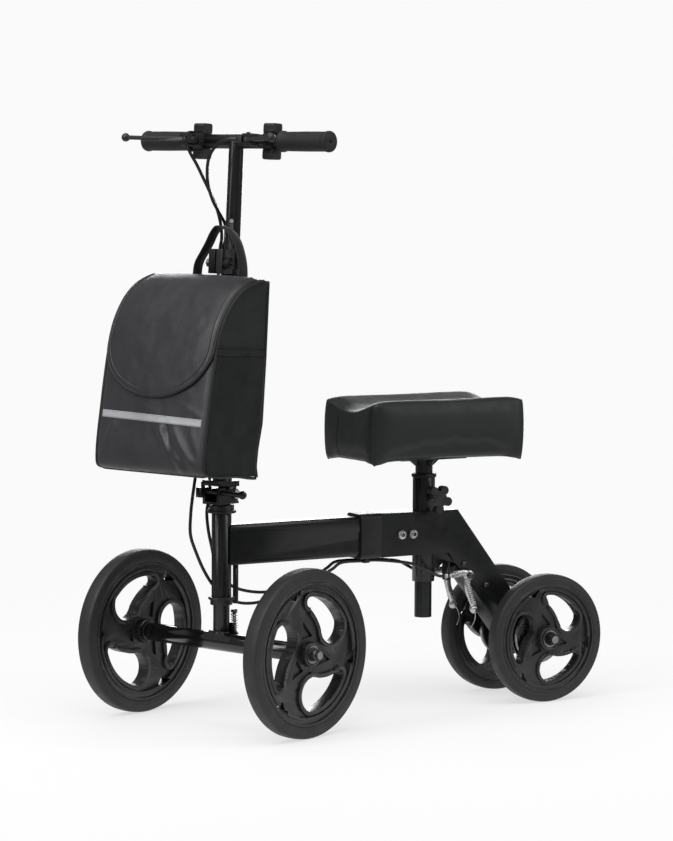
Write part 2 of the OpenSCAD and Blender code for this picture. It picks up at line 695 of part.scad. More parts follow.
module bearings() color("silver") for (s = [-1, 1]) rotate([90, 0, 0])
    translate([0, 0, s * (hub_w / 2 - bearing_w / 2)]) difference() {
        cylinder(h = bearing_w, r = axle_r + 7, center = true);
        cylinder(h = bearing_w + 2, r = axle_r + fit, center = true);
    }

// Places a wheel piece on its axle end; the right-hand ones are the same piece turned round
module at_front(side) on_steering() translate([0, side * front_half, front_r])
    rotate([0, 0, side > 0 ? 0 : 180]) children();
module at_rear(side) translate([rear_x, side * rear_half, rear_r])
    rotate([0, 0, side > 0 ? 0 : 180]) children();

module brake_drum(side) color("#4a4b4e") at_rear(side) translate([0, -hub_w / 2 - drum_t - gap, 0])
    rotate([-90, 0, 0]) difference() {
        union() {
            cylinder(h = drum_t, r = drum_r);
            cylinder(h = drum_t + gap - fit, r = 18);
        }
        translate([0, 0, -1]) cylinder(h = drum_t + 2, r = axle_r + 1);
        translate([0, 0, -1]) cylinder(h = drum_t - 1, r = drum_r - 3);
    }

// ---- knee rest ----
module seat_post() color("#1c1d1f") translate([seat_x, 0, 0]) difference() {
    translate([0, 0, post_low]) cylinder(h = plate_z - post_low, d = seat_post_d);
    translate([0, 0, post_low - 1]) cylinder(h = plate_z - post_low - 8, d = seat_post_d - 2 * wall);
    for (i = [0:6]) translate([0, 0, knob_z + 25 * i - 125]) rotate([-90, 0, 0])
        cylinder(h = seat_post_d, r = 4.2);
}

module seat_plate() color("#1c1d1f") translate([seat_x, 0, 0]) {
    translate([-60, -30, plate_z]) cube([120, 60, plate_t2]);
    difference() {
        for (t = [0, 90]) rotate([90, 0, t]) linear_extrude(5, center = true)
            polygon([[-30, plate_z], [30, plate_z], [16, plate_z - 11], [-16, plate_z - 11]]);
        translate([0, 0, plate_z - 12]) cylinder(h = 12, d = seat_post_d + 2 * fit);
    }
}

module cushion_board() color("#5a4a38")
    translate([seat_x - cushion_len / 2 + board_in, -cushion_w / 2 + board_in, plate_z + plate_t2])
        cube([cushion_len - 2 * board_in, cushion_w - 2 * board_in, board_t]);

module knee_cushion() color("#2b2c2e") translate([seat_x, 0, cushion_height]) difference() {
    c = 16;
    hull() for (i = [-1, 1], j = [-1, 1]) translate([i * (cushion_len / 2 - c), j * (cushion_w / 2 - c), 0]) {
        cylinder(h = 8, r = c - 2, $fn = 32);
        translate([0, 0, cushion_h - c]) sphere(r = c, $fn = 32);
    }
    translate([-cushion_len / 2 + board_in - gap, -cushion_w / 2 + board_in - gap, -1])
        cube([cushion_len - 2 * (board_in - gap), cushion_w - 2 * (board_in - gap), board_t + 1 + fit]);
}

// Five-lobed clamp knob on its screw, to the left of the seat tube
module seat_knob() color("#202124") translate([seat_x, seat_post_d / 2 + 0.3, knob_z]) rotate([-90, 0, 0]) {
    cylinder(h = 20, r = 4);
    translate([0, 0, 16]) cylinder(h = 7, r = 9);
    translate([0, 0, 22]) linear_extrude(12) {
        circle(13);
        for (i = [0:4]) rotate(72 * i + 20) translate([knob_r - 7, 0]) circle(7);
    }
}

// ---- rear brakes ----
module brake_arm(side) color("silver") translate([arm_x, side * arm_y, arm_z]) {
    rotate([90, 0, 0]) linear_extrude(4, center = true) difference() {
        union() {
            circle(8);
            polygon([[-7, 3], [7, 3], [-2, -48], [-12, -48]]);
            polygon([[-3, 7], [4, -7], [30, 0], [30, 6]]);
        }
        circle(arm_pin_r + fit);
    }
    translate([-8, side * 3, -54]) sphere(r = 6.5);
}

module cable_adjusters() color("silver") for (s = [-1, 1]) difference() {
    union() {
        ahead(adjuster_x, s * arm_y, adjuster_z, 14, 3.6);
        ahead(adjuster_x + 9, s * arm_y, adjuster_z, 4, 5);
    }
    ahead(adjuster_x - 1, s * arm_y, adjuster_z, 20, cable_r + 0.2);
}

// ---- brake cables ----
module brake_cables_upper() color("#101112") {
    sweep(on_stem_points(upper_left), cable_r);
    sweep(on_stem_points(upper_right), cable_r);
}
module brake_cables_stem() color("#101112") {
    sweep(on_stem_points(stem_left), cable_r);
    sweep(on_stem_points(stem_right), cable_r);
}
module brake_cables_lower() color("#101112") {
    sweep(concat([lower_end(stem_left)], shifted(lower_left, front_x)), cable_r);
    sweep(concat([lower_end(stem_right)], shifted(lower_right, front_x)), cable_r);
}
module brake_cables_rear() color("#101112") {
    sweep(shifted(rear_left, rear_x), cable_r);
    sweep(shifted(rear_right, rear_x), cable_r);
}

main_frame();
beam_collar();
rear_frame();
bracket_bolts();
headset_cups();
seat_tube_bushing();
rear_axle();
rear_axle_nuts();
brake_backing_plates();
cable_clip();
cable_guide_bar();
steering_column();
front_axle_beam();
front_axle();
front_axle_nuts();
fold_pin();
fold_latch();
stem_tube();
stem_clamp();
clamp_skewer();
clamp_lever();
bag_body();
bag_flap();
bag_handle();
bag_straps();
handlebar();
post_stop_pin();
grip(1);  // grip_left
grip(-1);  // grip_right
lever_perch(1);  // lever_perch_left
lever_perch(-1);  // lever_perch_right
brake_lever(1);  // brake_lever_left
brake_lever(-1);  // brake_lever_right
at_front(1) tyre(front_r, front_tyre_w);  // front_tyre_left
at_front(-1) tyre(front_r, front_tyre_w);  // front_tyre_right
at_front(1) wheel(front_r, front_tyre_w, 0);  // front_wheel_left
at_front(-1) wheel(front_r, front_tyre_w, 13);  // front_wheel_right
at_front(1) bearings();  // front_bearings_left
at_front(-1) bearings();  // front_bearings_right
at_rear(1) tyre(rear_r, rear_tyre_w);  // rear_tyre_left
at_rear(-1) tyre(rear_r, rear_tyre_w);  // rear_tyre_right
at_rear(1) wheel(rear_r, rear_tyre_w, 0);  // rear_wheel_left
at_rear(-1) wheel(rear_r, rear_tyre_w, 36);  // rear_wheel_right
at_rear(1) bearings();  // rear_bearings_left
at_rear(-1) bearings();  // rear_bearings_right
brake_drum(1);  // brake_drum_left
brake_drum(-1);  // brake_drum_right
seat_post();
seat_plate();
cushion_board();
knee_cushion();
seat_knob();
brake_arm(1);  // brake_arm_left
brake_arm(-1);  // brake_arm_right
cable_adjusters();
brake_cables_upper();
brake_cables_stem();
brake_cables_lower();
brake_cables_rear();
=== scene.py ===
import bpy
import bmesh
import json
import math
from mathutils import Matrix, Vector, noise

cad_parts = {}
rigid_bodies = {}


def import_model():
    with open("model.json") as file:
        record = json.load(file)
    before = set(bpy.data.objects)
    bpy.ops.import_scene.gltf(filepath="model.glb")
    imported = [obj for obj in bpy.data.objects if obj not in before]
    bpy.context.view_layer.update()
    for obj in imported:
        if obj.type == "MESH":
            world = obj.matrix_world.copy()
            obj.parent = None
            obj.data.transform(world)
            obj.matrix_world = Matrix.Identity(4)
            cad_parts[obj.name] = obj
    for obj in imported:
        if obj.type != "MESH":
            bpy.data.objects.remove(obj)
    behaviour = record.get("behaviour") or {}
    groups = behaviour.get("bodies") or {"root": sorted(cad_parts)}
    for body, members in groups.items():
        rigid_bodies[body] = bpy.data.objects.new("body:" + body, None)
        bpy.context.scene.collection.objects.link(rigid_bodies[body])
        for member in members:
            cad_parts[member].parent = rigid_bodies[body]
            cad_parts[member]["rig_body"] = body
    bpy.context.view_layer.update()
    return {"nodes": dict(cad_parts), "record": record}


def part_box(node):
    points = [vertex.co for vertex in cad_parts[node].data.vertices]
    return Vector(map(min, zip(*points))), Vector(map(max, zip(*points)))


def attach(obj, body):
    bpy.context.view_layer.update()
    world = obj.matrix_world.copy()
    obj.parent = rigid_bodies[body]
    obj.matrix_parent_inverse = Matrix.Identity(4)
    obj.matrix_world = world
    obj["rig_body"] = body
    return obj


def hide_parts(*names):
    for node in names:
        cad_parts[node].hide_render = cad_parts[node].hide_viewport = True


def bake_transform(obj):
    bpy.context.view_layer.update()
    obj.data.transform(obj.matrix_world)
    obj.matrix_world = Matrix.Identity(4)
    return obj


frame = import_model()
print("frame loaded")

mm = 0.001
steering = {"turn": 18.4, "lean": 3.4, "foldHeight": 352.0}
cupLow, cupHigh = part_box("headset_cups")
steerX = (cupLow.x + cupHigh.x) / 2 / mm
axleLow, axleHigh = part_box("rear_axle")
rearX = (axleLow.x + axleHigh.x) / 2 / mm


# ---- places: millimetres in a piece's own frame to metres in the scooter's frame ----
def onFrame(x, y, z):
    return Vector((x, y, z)) * mm


def onRear(x, y, z):
    return onFrame(rearX + x, y, z)


def onSteering(a, b, z):
    turn = math.radians(steering["turn"])
    return onFrame(steerX + math.cos(turn) * a - math.sin(turn) * b,
                   math.sin(turn) * a + math.cos(turn) * b, z)


def onStem(a, b, z):
    lean = math.radians(steering["lean"])
    up = z - steering["foldHeight"]
    return onSteering(math.cos(lean) * a - math.sin(lean) * up, b,
                      steering["foldHeight"] + math.sin(lean) * a + math.cos(lean) * up)


def placed(place, points):
    return [place(*p) for p in points]


# ---- mesh helpers ----
def newPiece(name, vertices, faces, material, smooth=True, weave=None):
    # weave holds each point's place on the flat cloth, in metres
    mesh = bpy.data.meshes.new(name)
    mesh.from_pydata([tuple(v) for v in vertices], [], faces)
    if weave:
        layer = mesh.attributes.new("weave", "FLOAT_VECTOR", "POINT")
        layer.data.foreach_set("vector", [x for u, v in weave for x in (u, v, 0)])
    piece = bpy.data.objects.new(name, mesh)
    bpy.context.scene.collection.objects.link(piece)
    if material:
        mesh.materials.append(material)
    tidyMesh(piece, smooth)
    return piece


def tidyMesh(piece, smooth=True, merge=1e-6):
    bm = bmesh.new()
    bm.from_mesh(piece.data)
    bmesh.ops.remove_doubles(bm, verts=bm.verts, dist=merge)
    bmesh.ops.recalc_face_normals(bm, faces=bm.faces)
    for face in bm.faces:
        face.smooth = smooth
    bm.to_mesh(piece.data)
    bm.free()


def spline(points, steps=6, closed=False):
    # smooth curve through every point
    n = len(points)
    made = []
    for i in range(n if closed else n - 1):
        if closed:
            p0, p1, p2, p3 = (points[(i + k - 1) % n] for k in range(4))
        else:
            p1, p2 = points[i], points[i + 1]
            p0 = points[i - 1] if i else p1 * 2 - p2
            p3 = points[i + 2] if i + 2 < n else p2 * 2 - p1
        for k in range(steps):
            t = k / steps
            made.append(0.5 * (2 * p1 + (p2 - p0) * t + (2 * p0 - 5 * p1 + 4 * p2 - p3) * t * t
                               + (3 * p1 - p0 - 3 * p2 + p3) * t ** 3))
    if not closed:
        made.append(points[-1].copy())
    return made


def sweep(name, path, outline, material, closed=False, up=None, smooth=True, woven=False):
    # an outline of (side, up) offsets in metres carried along a path, with flat ends
    n, m = len(path), len(outline)
    vertices, weave, side, run = [], [], None, 0.0
    for i, p in enumerate(path):
        run += (p - path[i - 1]).length if i else 0.0
        ahead = path[(i + 1) % n] if closed or i + 1 < n else p
        behind = path[i - 1] if closed or i else p
        tangent = (ahead - behind).normalized()
        if up is not None:
            side = tangent.cross(up).normalized()
        elif side is None:
            side = tangent.orthogonal().normalized()
        else:
            side = (side - tangent * side.dot(tangent)).normalized()
        rise = side.cross(tangent)
        vertices += [p + side * s + rise * u for s, u in outline]
        weave += [(u, run) for s, u in outline]
    faces = [(i * m + k, i * m + (k + 1) % m, (i + 1) % n * m + (k + 1) % m, (i + 1) % n * m + k)
             for i in range(n if closed else n - 1) for k in range(m)]
    if not closed:
        faces += [tuple(range(m)), tuple((n - 1) * m + k for k in reversed(range(m)))]
    return newPiece(name, vertices, faces, material, smooth, weave if woven else None)


def circleOutline(radius, sides=10):
    return [(radius * math.cos(math.tau * k / sides), radius * math.sin(math.tau * k / sides))
            for k in range(sides)]


def tube(name, path, radius, material, sides=10, closed=False):
    return sweep(name, path, circleOutline(radius * mm, sides), material, closed)


def lathe(name, profile, centre, axis, material, segments=64):
    # profile of (radius, distance along the axis) in millimetres, closed where its ends reach radius 0
    axis = axis.normalized()
    side = axis.orthogonal().normalized()
    rise = axis.cross(side)
    vertices, m = [], len(profile)
    for k in range(segments):
        angle = math.tau * k / segments
        out = side * math.cos(angle) + rise * math.sin(angle)
        vertices += [centre + out * (r * mm) + axis * (d * mm) for r, d in profile]
    loop = profile[0][0] > 1e-6 or profile[-1][0] > 1e-6
    faces = []
    for k in range(segments):
        j = (k + 1) % segments
        for i in range(m if loop else m - 1):
            quad = (k * m + i, k * m + (i + 1) % m, j * m + (i + 1) % m, j * m + i)
            faces.append(quad)
    return newPiece(name, vertices, faces, material)


def gridPiece(name, rows, material, weave=None):
    # rows of points joined into quads
    n, m = len(rows), len(rows[0])
    faces = [(i * m + k, i * m + k + 1, (i + 1) * m + k + 1, (i + 1) * m + k)
             for i in range(n - 1) for k in range(m - 1)]
    return newPiece(name, [p for row in rows for p in row], faces, material, weave=weave)


def joined(name, pieces):
    bpy.ops.object.select_all(action="DESELECT")
    for piece in pieces:
        piece.select_set(True)
    bpy.context.view_layer.objects.active = pieces[0]
    bpy.ops.object.join()
    pieces[0].name = name
    return pieces[0]


def applied(piece):
    # bakes the modifiers into the mesh
    mesh = bpy.data.meshes.new_from_object(piece.evaluated_get(bpy.context.evaluated_depsgraph_get()))
    piece.modifiers.clear()
    piece.data = mesh
    return piece


def bevelledCopy(node, material, width, segments=2, angle=32):
    # a copy of a CAD node whose hard edges are rounded
    source = frame["nodes"][node].data
    copy = newPiece(node + "_edged", [v.co.copy() for v in source.vertices],
                    [tuple(p.vertices) for p in source.polygons], material, smooth=False)
    bm = bmesh.new()
    bm.from_mesh(copy.data)
    bmesh.ops.remove_doubles(bm, verts=bm.verts, dist=2e-6)
    bmesh.ops.dissolve_limit(bm, angle_limit=math.radians(0.6), verts=bm.verts, edges=bm.edges)
    bm.to_mesh(copy.data)
    bm.free()
    bevel = copy.modifiers.new("edges", "BEVEL")
    bevel.width = width * mm
    bevel.segments = segments
    bevel.limit_method = "ANGLE"
    bevel.angle_limit = math.radians(angle)
    bevel.use_clamp_overlap = True
    bevel.harden_normals = True
    applied(copy)
    for polygon in copy.data.polygons:
        polygon.use_smooth = True
    copy.data.set_sharp_from_angle(angle=math.radians(angle))
    return copy


# ---- materials ----
def newMaterial(name, color, roughness, metallic=0.0, specular=0.5):
    material = bpy.data.materials.new(name)
    material.use_nodes = True
    tree = material.node_tree
    shader = tree.nodes["Principled BSDF"]
    shader.inputs["Base Color"].default_value = (*color, 1)
    shader.inputs["Roughness"].default_value = roughness
    shader.inputs["Metallic"].default_value = metallic
    shader.inputs["Specular IOR Level"].default_value = specular
    return material, tree, shader


def addNode(tree, kind, **settings):
    node = tree.nodes.new("ShaderNode" + kind)
    for key, value in settings.items():
        if key in node.inputs:
            node.inputs[key].default_value = value
        else:
            setattr(node, key, value)
    return node


def addNoise(tree, scale, detail=3.0):
    where = addNode(tree, "TexCoord")
    pattern = addNode(tree, "TexNoise", Scale=scale, Detail=detail)
    tree.links.new(where.outputs["Object"], pattern.inputs["Vector"])
    return pattern.outputs["Fac"]


def varyColor(tree, shader, color, scale, amount):
    # slow drift of the base colour between a darker and a lighter tone
    ramp = addNode(tree, "MapRange")
    ramp.inputs["From Min"].default_value = 0.3
    ramp.inputs["From Max"].default_value = 0.7
    tree.links.new(addNoise(tree, scale), ramp.inputs["Value"])
    mix = addNode(tree, "Mix", data_type="RGBA")
    mix.inputs["A"].default_value = (*[c * (1 - amount) for c in color], 1)
    mix.inputs["B"].default_value = (*[c * (1 + amount) for c in color], 1)
    for socket in mix.inputs:
        if socket.name == "A" and socket.type == "RGBA":
            socket.default_value = (*[c * (1 - amount) for c in color], 1)
        if socket.name == "B" and socket.type == "RGBA":
            socket.default_value = (*[c * (1 + amount) for c in color], 1)
    tree.links.new(ramp.outputs["Result"], mix.inputs["Factor"])
    output = [s for s in mix.outputs if s.type == "RGBA"][0]
    tree.links.new(output, shader.inputs["Base Color"])
    return output


def varyRoughness(tree, shader, scale, low, high):
    ramp = addNode(tree, "MapRange")
    ramp.inputs["From Min"].default_value = 0.3
    ramp.inputs["From Max"].default_value = 0.7
    ramp.inputs["To Min"].default_value = low
    ramp.inputs["To Max"].default_value = high
    tree.links.new(addNoise(tree, scale, 5.0), ramp.inputs["Value"])
    tree.links.new(ramp.outputs["Result"], shader.inputs["Roughness"])


def addBump(tree, shader, height, strength, distance):
    bump = addNode(tree, "Bump", Strength=strength, Distance=distance)
    tree.links.new(height, bump.inputs["Height"])
    previous = shader.inputs["Normal"].links
    if previous:
        tree.links.new(previous[0].from_socket, bump.inputs["Normal"])
    tree.links.new(bump.outputs["Normal"], shader.inputs["Normal"])


def math2(tree, operation, a, b):
    node = addNode(tree, "Math", operation=operation)
    for socket, value in zip(node.inputs, (a, b)):
        if isinstance(value, (int, float)):
            socket.default_value = value
        else:
            tree.links.new(value, socket)
    return node.outputs[0]


def grainedPaint(name, color, roughness, grain, depth, specular=0.5, metallic=0.0, vary=0.12, coat=0.0):
    material, tree, shader = newMaterial(name, color, roughness, metallic, specular)
    varyColor(tree, shader, color, 22, vary)
    varyRoughness(tree, shader, 60, roughness * 0.85, min(1, roughness * 1.18))
    addBump(tree, shader, addNoise(tree, grain, 2.0), 0.35, depth * mm)
    shader.inputs["Coat Weight"].default_value = coat
    shader.inputs["Coat Roughness"].default_value = 0.12
    return material


def leatherette(name, color):
    material, tree, shader = newMaterial(name, color, 0.46, specular=0.42)
    varyColor(tree, shader, color, 14, 0.1)
    varyRoughness(tree, shader, 45, 0.42, 0.54)
    where = addNode(tree, "TexCoord")
    warp = addNode(tree, "TexNoise", Scale=160.0, Detail=2.0)
    tree.links.new(where.outputs["Object"], warp.inputs["Vector"])
    cells = addNode(tree, "TexVoronoi", Scale=620.0)
    cells.feature = "DISTANCE_TO_EDGE"
    shift = addNode(tree, "VectorMath", operation="MULTIPLY_ADD")
    tree.links.new(warp.outputs["Color"], shift.inputs[0])
    shift.inputs[1].default_value = (0.002, 0.002, 0.002)
    tree.links.new(where.outputs["Object"], shift.inputs[2])
    tree.links.new(shift.outputs[0], cells.inputs["Vector"])
    addBump(tree, shader, cells.outputs["Distance"], 0.3, 0.12 * mm)
    addBump(tree, shader, addNoise(tree, 55, 3.0), 0.2, 0.6 * mm)
    return material


def wovenCloth(name, color, threads, roughness, depth, specular=0.35, sheen=0.0):
    # plain weave from two sets of threads that cross, laid out by the piece's own weave attribute
    material, tree, shader = newMaterial(name, color, roughness, specular=specular)
    varyColor(tree, shader, color, 18, 0.16)
    varyRoughness(tree, shader, 40, roughness * 0.85, min(1, roughness * 1.15))
    where = addNode(tree, "Attribute")
    where.attribute_name = "weave"
    parts = addNode(tree, "SeparateXYZ")
    tree.links.new(where.outputs["Vector"], parts.inputs[0])
    waves = [math2(tree, "SINE", math2(tree, "MULTIPLY", parts.outputs[k], math.tau * threads), 0)
             for k in (0, 1)]
    weave = math2(tree, "MULTIPLY", waves[0], waves[1])
    addBump(tree, shader, weave, 0.25, depth * mm)
    shader.inputs["Sheen Weight"].default_value = sheen
    shader.inputs["Sheen Roughness"].default_value = 0.4
    return material


def brushedMetal(name, color, roughness):
    material, tree, shader = newMaterial(name, color, roughness, metallic=1.0)
    varyColor(tree, shader, color, 90, 0.18)
    varyRoughness(tree, shader, 240, roughness * 0.6, min(1, roughness * 1.5))
    addBump(tree, shader, addNoise(tree, 900, 2.0), 0.2, 0.05 * mm)
    return material


finishes = {
    "framePaint": grainedPaint("framePaint", (0.0062, 0.0068, 0.0072), 0.3, 1300, 0.05, 0.42),
    "axlePaint": grainedPaint("axlePaint", (0.004, 0.004, 0.0042), 0.14, 500, 0.015, 0.5, coat=0.3),
    "wheelPlastic": grainedPaint("wheelPlastic", (0.0115, 0.0108, 0.0115), 0.34, 1800, 0.05, 0.5),
    "tyreRubber": grainedPaint("tyreRubber", (0.0165, 0.0165, 0.0167), 0.55, 1500, 0.08, 0.42),
    "blackPlastic": grainedPaint("blackPlastic", (0.011, 0.0112, 0.0118), 0.46, 1500, 0.08, 0.4),
    "gripRubber": grainedPaint("gripRubber", (0.014, 0.0146, 0.0152), 0.6, 1100, 0.12, 0.4),
    "leverPaint": grainedPaint("leverPaint", (0.018, 0.018, 0.019), 0.34, 700, 0.04, 0.5),
    "cableSheath": grainedPaint("cableSheath", (0.007, 0.007, 0.0075), 0.36, 800, 0.03, 0.45),
    "cushionCover": leatherette("cushionCover", (0.0095, 0.0112, 0.0117)),
    "bagShell": wovenCloth("bagShell", (0.0215, 0.0195, 0.0235), 900, 0.42, 0.06, 0.5, 0.12),
    "bagSide": wovenCloth("bagSide", (0.010, 0.0115, 0.012), 500, 0.62, 0.14, 0.28, 0.15),
    "bagMesh": wovenCloth("bagMesh", (0.008, 0.0095, 0.0098), 260, 0.7, 0.3, 0.25, 0.1),
    "strapCloth": grainedPaint("strapCloth", (0.0105, 0.0108, 0.0115), 0.68, 1600, 0.3, 0.3),
    "webbing": wovenCloth("webbing", (0.0105, 0.0108, 0.0115), 420, 0.62, 0.18, 0.3, 0.15),
    "reflective": wovenCloth("reflective", (0.36, 0.37, 0.385), 1500, 0.38, 0.05, 0.6),
    "brightSteel": brushedMetal("brightSteel", (0.55, 0.55, 0.54), 0.28),
    "bearingSteel": brushedMetal("bearingSteel", (0.3, 0.3, 0.31), 0.32),
    "darkSteel": brushedMetal("darkSteel", (0.09, 0.09, 0.095), 0.36),
    "seatBoard": grainedPaint("seatBoard", (0.012, 0.012, 0.012), 0.8, 900, 0.2, 0.3),
}
slotFinish = {
    "frame_paint": "framePaint", "axle_paint": "axlePaint", "wheel_plastic": "wheelPlastic",
    "tyre_rubber": "tyreRubber", "black_plastic": "blackPlastic", "grip_rubber": "gripRubber",
    "bag_fabric": "bagShell", "webbing": "strapCloth", "cushion_cover": "cushionCover",
    "bright_steel": "brightSteel", "lever_metal": "leverPaint", "bearing_steel": "bearingSteel",
    "cable_black": "cableSheath", "board_wood": "seatBoard",
}
for row in frame["record"]["subparts"]:
    node = frame["nodes"][row["node"]]
    material = finishes[slotFinish[row["material_slot"]]]
    node.data.materials.clear()
    node.data.materials.append(material)
print("materials made")


# ---- geometry nodes: stitches along a seam, and coil springs ----
def treeWith(name, inputs):
    tree = bpy.data.node_groups.new(name, "GeometryNodeTree")
    tree.interface.new_socket("Geometry", in_out="INPUT", socket_type="NodeSocketGeometry")
    for label, kind, value in inputs:
        socket = tree.interface.new_socket(label, in_out="INPUT", socket_type="NodeSocket" + kind)
        if value is not None:
            socket.default_value = value
    tree.interface.new_socket("Geometry", in_out="OUTPUT", socket_type="NodeSocketGeometry")
    return tree, tree.nodes.new("NodeGroupInput"), tree.nodes.new("NodeGroupOutput")


def geo(tree, kind, **settings):
    node = tree.nodes.new(kind)
    for key, value in settings.items():
        if key in node.inputs:
            node.inputs[key].default_value = value
        else:
            setattr(node, key, value)
    return node


def stitchTree():
    tree, given, made = treeWith("stitches", [("Pitch", "Float", 0.003), ("Thread", "Float", 0.0004),
                                              ("Thread length", "Float", 0.002), ("Finish", "Material", None)])
    link = tree.links.new
    points = geo(tree, "GeometryNodeCurveToPoints", mode="LENGTH")
    link(given.outputs["Geometry"], points.inputs["Curve"])
    link(given.outputs["Pitch"], points.inputs["Length"])
    aim = geo(tree, "FunctionNodeAlignRotationToVector", axis="Z")
    link(points.outputs["Tangent"], aim.inputs["Vector"])
    ball = geo(tree, "GeometryNodeMeshIcoSphere", Radius=0.5, Subdivisions=1)
    size = geo(tree, "ShaderNodeCombineXYZ")
    for axis in "XY":
        link(given.outputs["Thread"], size.inputs[axis])
    link(given.outputs["Thread length"], size.inputs["Z"])
    copies = geo(tree, "GeometryNodeInstanceOnPoints")
    link(points.outputs["Points"], copies.inputs["Points"])
    link(ball.outputs["Mesh"], copies.inputs["Instance"])
    link(aim.outputs["Rotation"], copies.inputs["Rotation"])
    link(size.outputs["Vector"], copies.inputs["Scale"])
    real = geo(tree, "GeometryNodeRealizeInstances")
    finish = geo(tree, "GeometryNodeSetMaterial")
    link(copies.outputs["Instances"], real.inputs["Geometry"])
    link(real.outputs["Geometry"], finish.inputs["Geometry"])
    link(given.outputs["Finish"], finish.inputs["Material"])
    link(finish.outputs["Geometry"], made.inputs["Geometry"])
    return tree


def coilTree():
    tree, given, made = treeWith("coil", [("Turns", "Float", 8.0), ("Radius", "Float", 0.003),
                                          ("Height", "Float", 0.02), ("Wire", "Float", 0.0005),
                                          ("Finish", "Material", None)])
    link = tree.links.new
    spiral = geo(tree, "GeometryNodeCurveSpiral", Resolution=14)
    link(given.outputs["Turns"], spiral.inputs["Rotations"])
    link(given.outputs["Radius"], spiral.inputs["Start Radius"])
    link(given.outputs["Radius"], spiral.inputs["End Radius"])
    link(given.outputs["Height"], spiral.inputs["Height"])
    ring = geo(tree, "GeometryNodeCurvePrimitiveCircle", Resolution=6)
    link(given.outputs["Wire"], ring.inputs["Radius"])
    wire = geo(tree, "GeometryNodeCurveToMesh")
    wire.inputs["Fill Caps"].default_value = True
    link(spiral.outputs["Curve"], wire.inputs["Curve"])
    link(ring.outputs["Curve"], wire.inputs["Profile Curve"])
    real = geo(tree, "GeometryNodeRealizeInstances")
    finish = geo(tree, "GeometryNodeSetMaterial")
    link(wire.outputs["Mesh"], real.inputs["Geometry"])
    link(real.outputs["Geometry"], finish.inputs["Geometry"])
    link(given.outputs["Finish"], finish.inputs["Material"])
    link(finish.outputs["Geometry"], made.inputs["Geometry"])
    return tree


def grownBy(tree, source, values):
    # runs a node tree on an object with the given inputs, and leaves a plain mesh
    modifier = source.modifiers.new("grow", "NODES")
    modifier.node_group = tree
    for item in tree.interface.items_tree:
        if item.in_out == "INPUT" and item.name in values:
            modifier[item.identifier] = values[item.name]
    bpy.context.view_layer.update()
    mesh = bpy.data.meshes.new_from_object(source.evaluated_get(bpy.context.evaluated_depsgraph_get()))
    piece = bpy.data.objects.new(source.name + "_made", mesh)
    bpy.context.scene.collection.objects.link(piece)
    bpy.data.objects.remove(source)
    for polygon in mesh.polygons:
        polygon.use_smooth = True
    return piece


def curveThrough(name, path, closed=False):
    data = bpy.data.curves.new(name, "CURVE")
    data.dimensions = "3D"
    line = data.splines.new("POLY")
    line.points.add(len(path) - 1)
    for point, place in zip(line.points, path):
        point.co = (*place, 1)
    line.use_cyclic_u = closed
    source = bpy.data.objects.new(name, data)
    bpy.context.scene.collection.objects.link(source)
    return source


stitchMaker = stitchTree()
coilMaker = coilTree()


def stitches(name, path, material, pitch=3.4, thread=0.55, length=2.6, closed=False):
    piece = grownBy(stitchMaker, curveThrough(name, path, closed), {
        "Pitch": pitch * mm, "Thread": thread * mm, "Thread length": length * mm, "Finish": material})
    piece.name = name
    return piece


def coilSpring(name, low, high, radius, wire, turns, material):
    # a coil spring from one point to another
    source = newPiece(name, [Vector(), Vector((0, 0, mm)), Vector((0, mm, 0))], [(0, 1, 2)], material)
    along = high - low
    piece = grownBy(coilMaker, source, {"Turns": float(turns), "Radius": radius * mm, "Height": along.length,
                                        "Wire": wire * mm, "Finish": material})
    piece.data.transform(Matrix.Translation(low) @ along.to_track_quat("Z", "Y").to_matrix().to_4x4())
    piece.name = name
    return piece


def settled(piece, body, slot, *nodes):
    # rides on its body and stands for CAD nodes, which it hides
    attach(piece, body)
    if nodes:
        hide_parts(*nodes)
    return piece


# ---- wheels and tyres ----
wheels = {
    "front": {"radius": 127, "width": 27, "height": 127, "half": 170, "phase": {"left": 0, "right": 13}},
    "rear": {"radius": 102, "width": 25, "height": 102, "half": 69, "phase": {"left": 0, "right": 36}},
    "hubWidth": 30,
}


def tyreProfile(radius, width):
    half, inner = width / 2, 0.85 * radius + 0.1
    outside = [(inner, half - 1.2), (inner + 2.5, half - 0.5), (radius * 0.905, half - 0.15),
               (radius * 0.93, half - 0.1), (radius * 0.936, half - 0.55), (radius * 0.944, half - 0.5)]
    crown = [(radius - 4.4 + 4.4 * math.cos(t) ** 0.8, (half - 5.2) + 4.7 * math.sin(t))
             for t in (math.radians(70 - 14 * k) for k in range(5))]
    crown = [(r - 0.9 * ((d / half) ** 2), d) for r, d in crown]
    tread = [(radius - 0.25, half * 0.45), (radius - 0.02, half * 0.2), (radius, 0)]
    right = outside + crown + tread
    return right + [(r, -d) for r, d in reversed(right[:-1])]


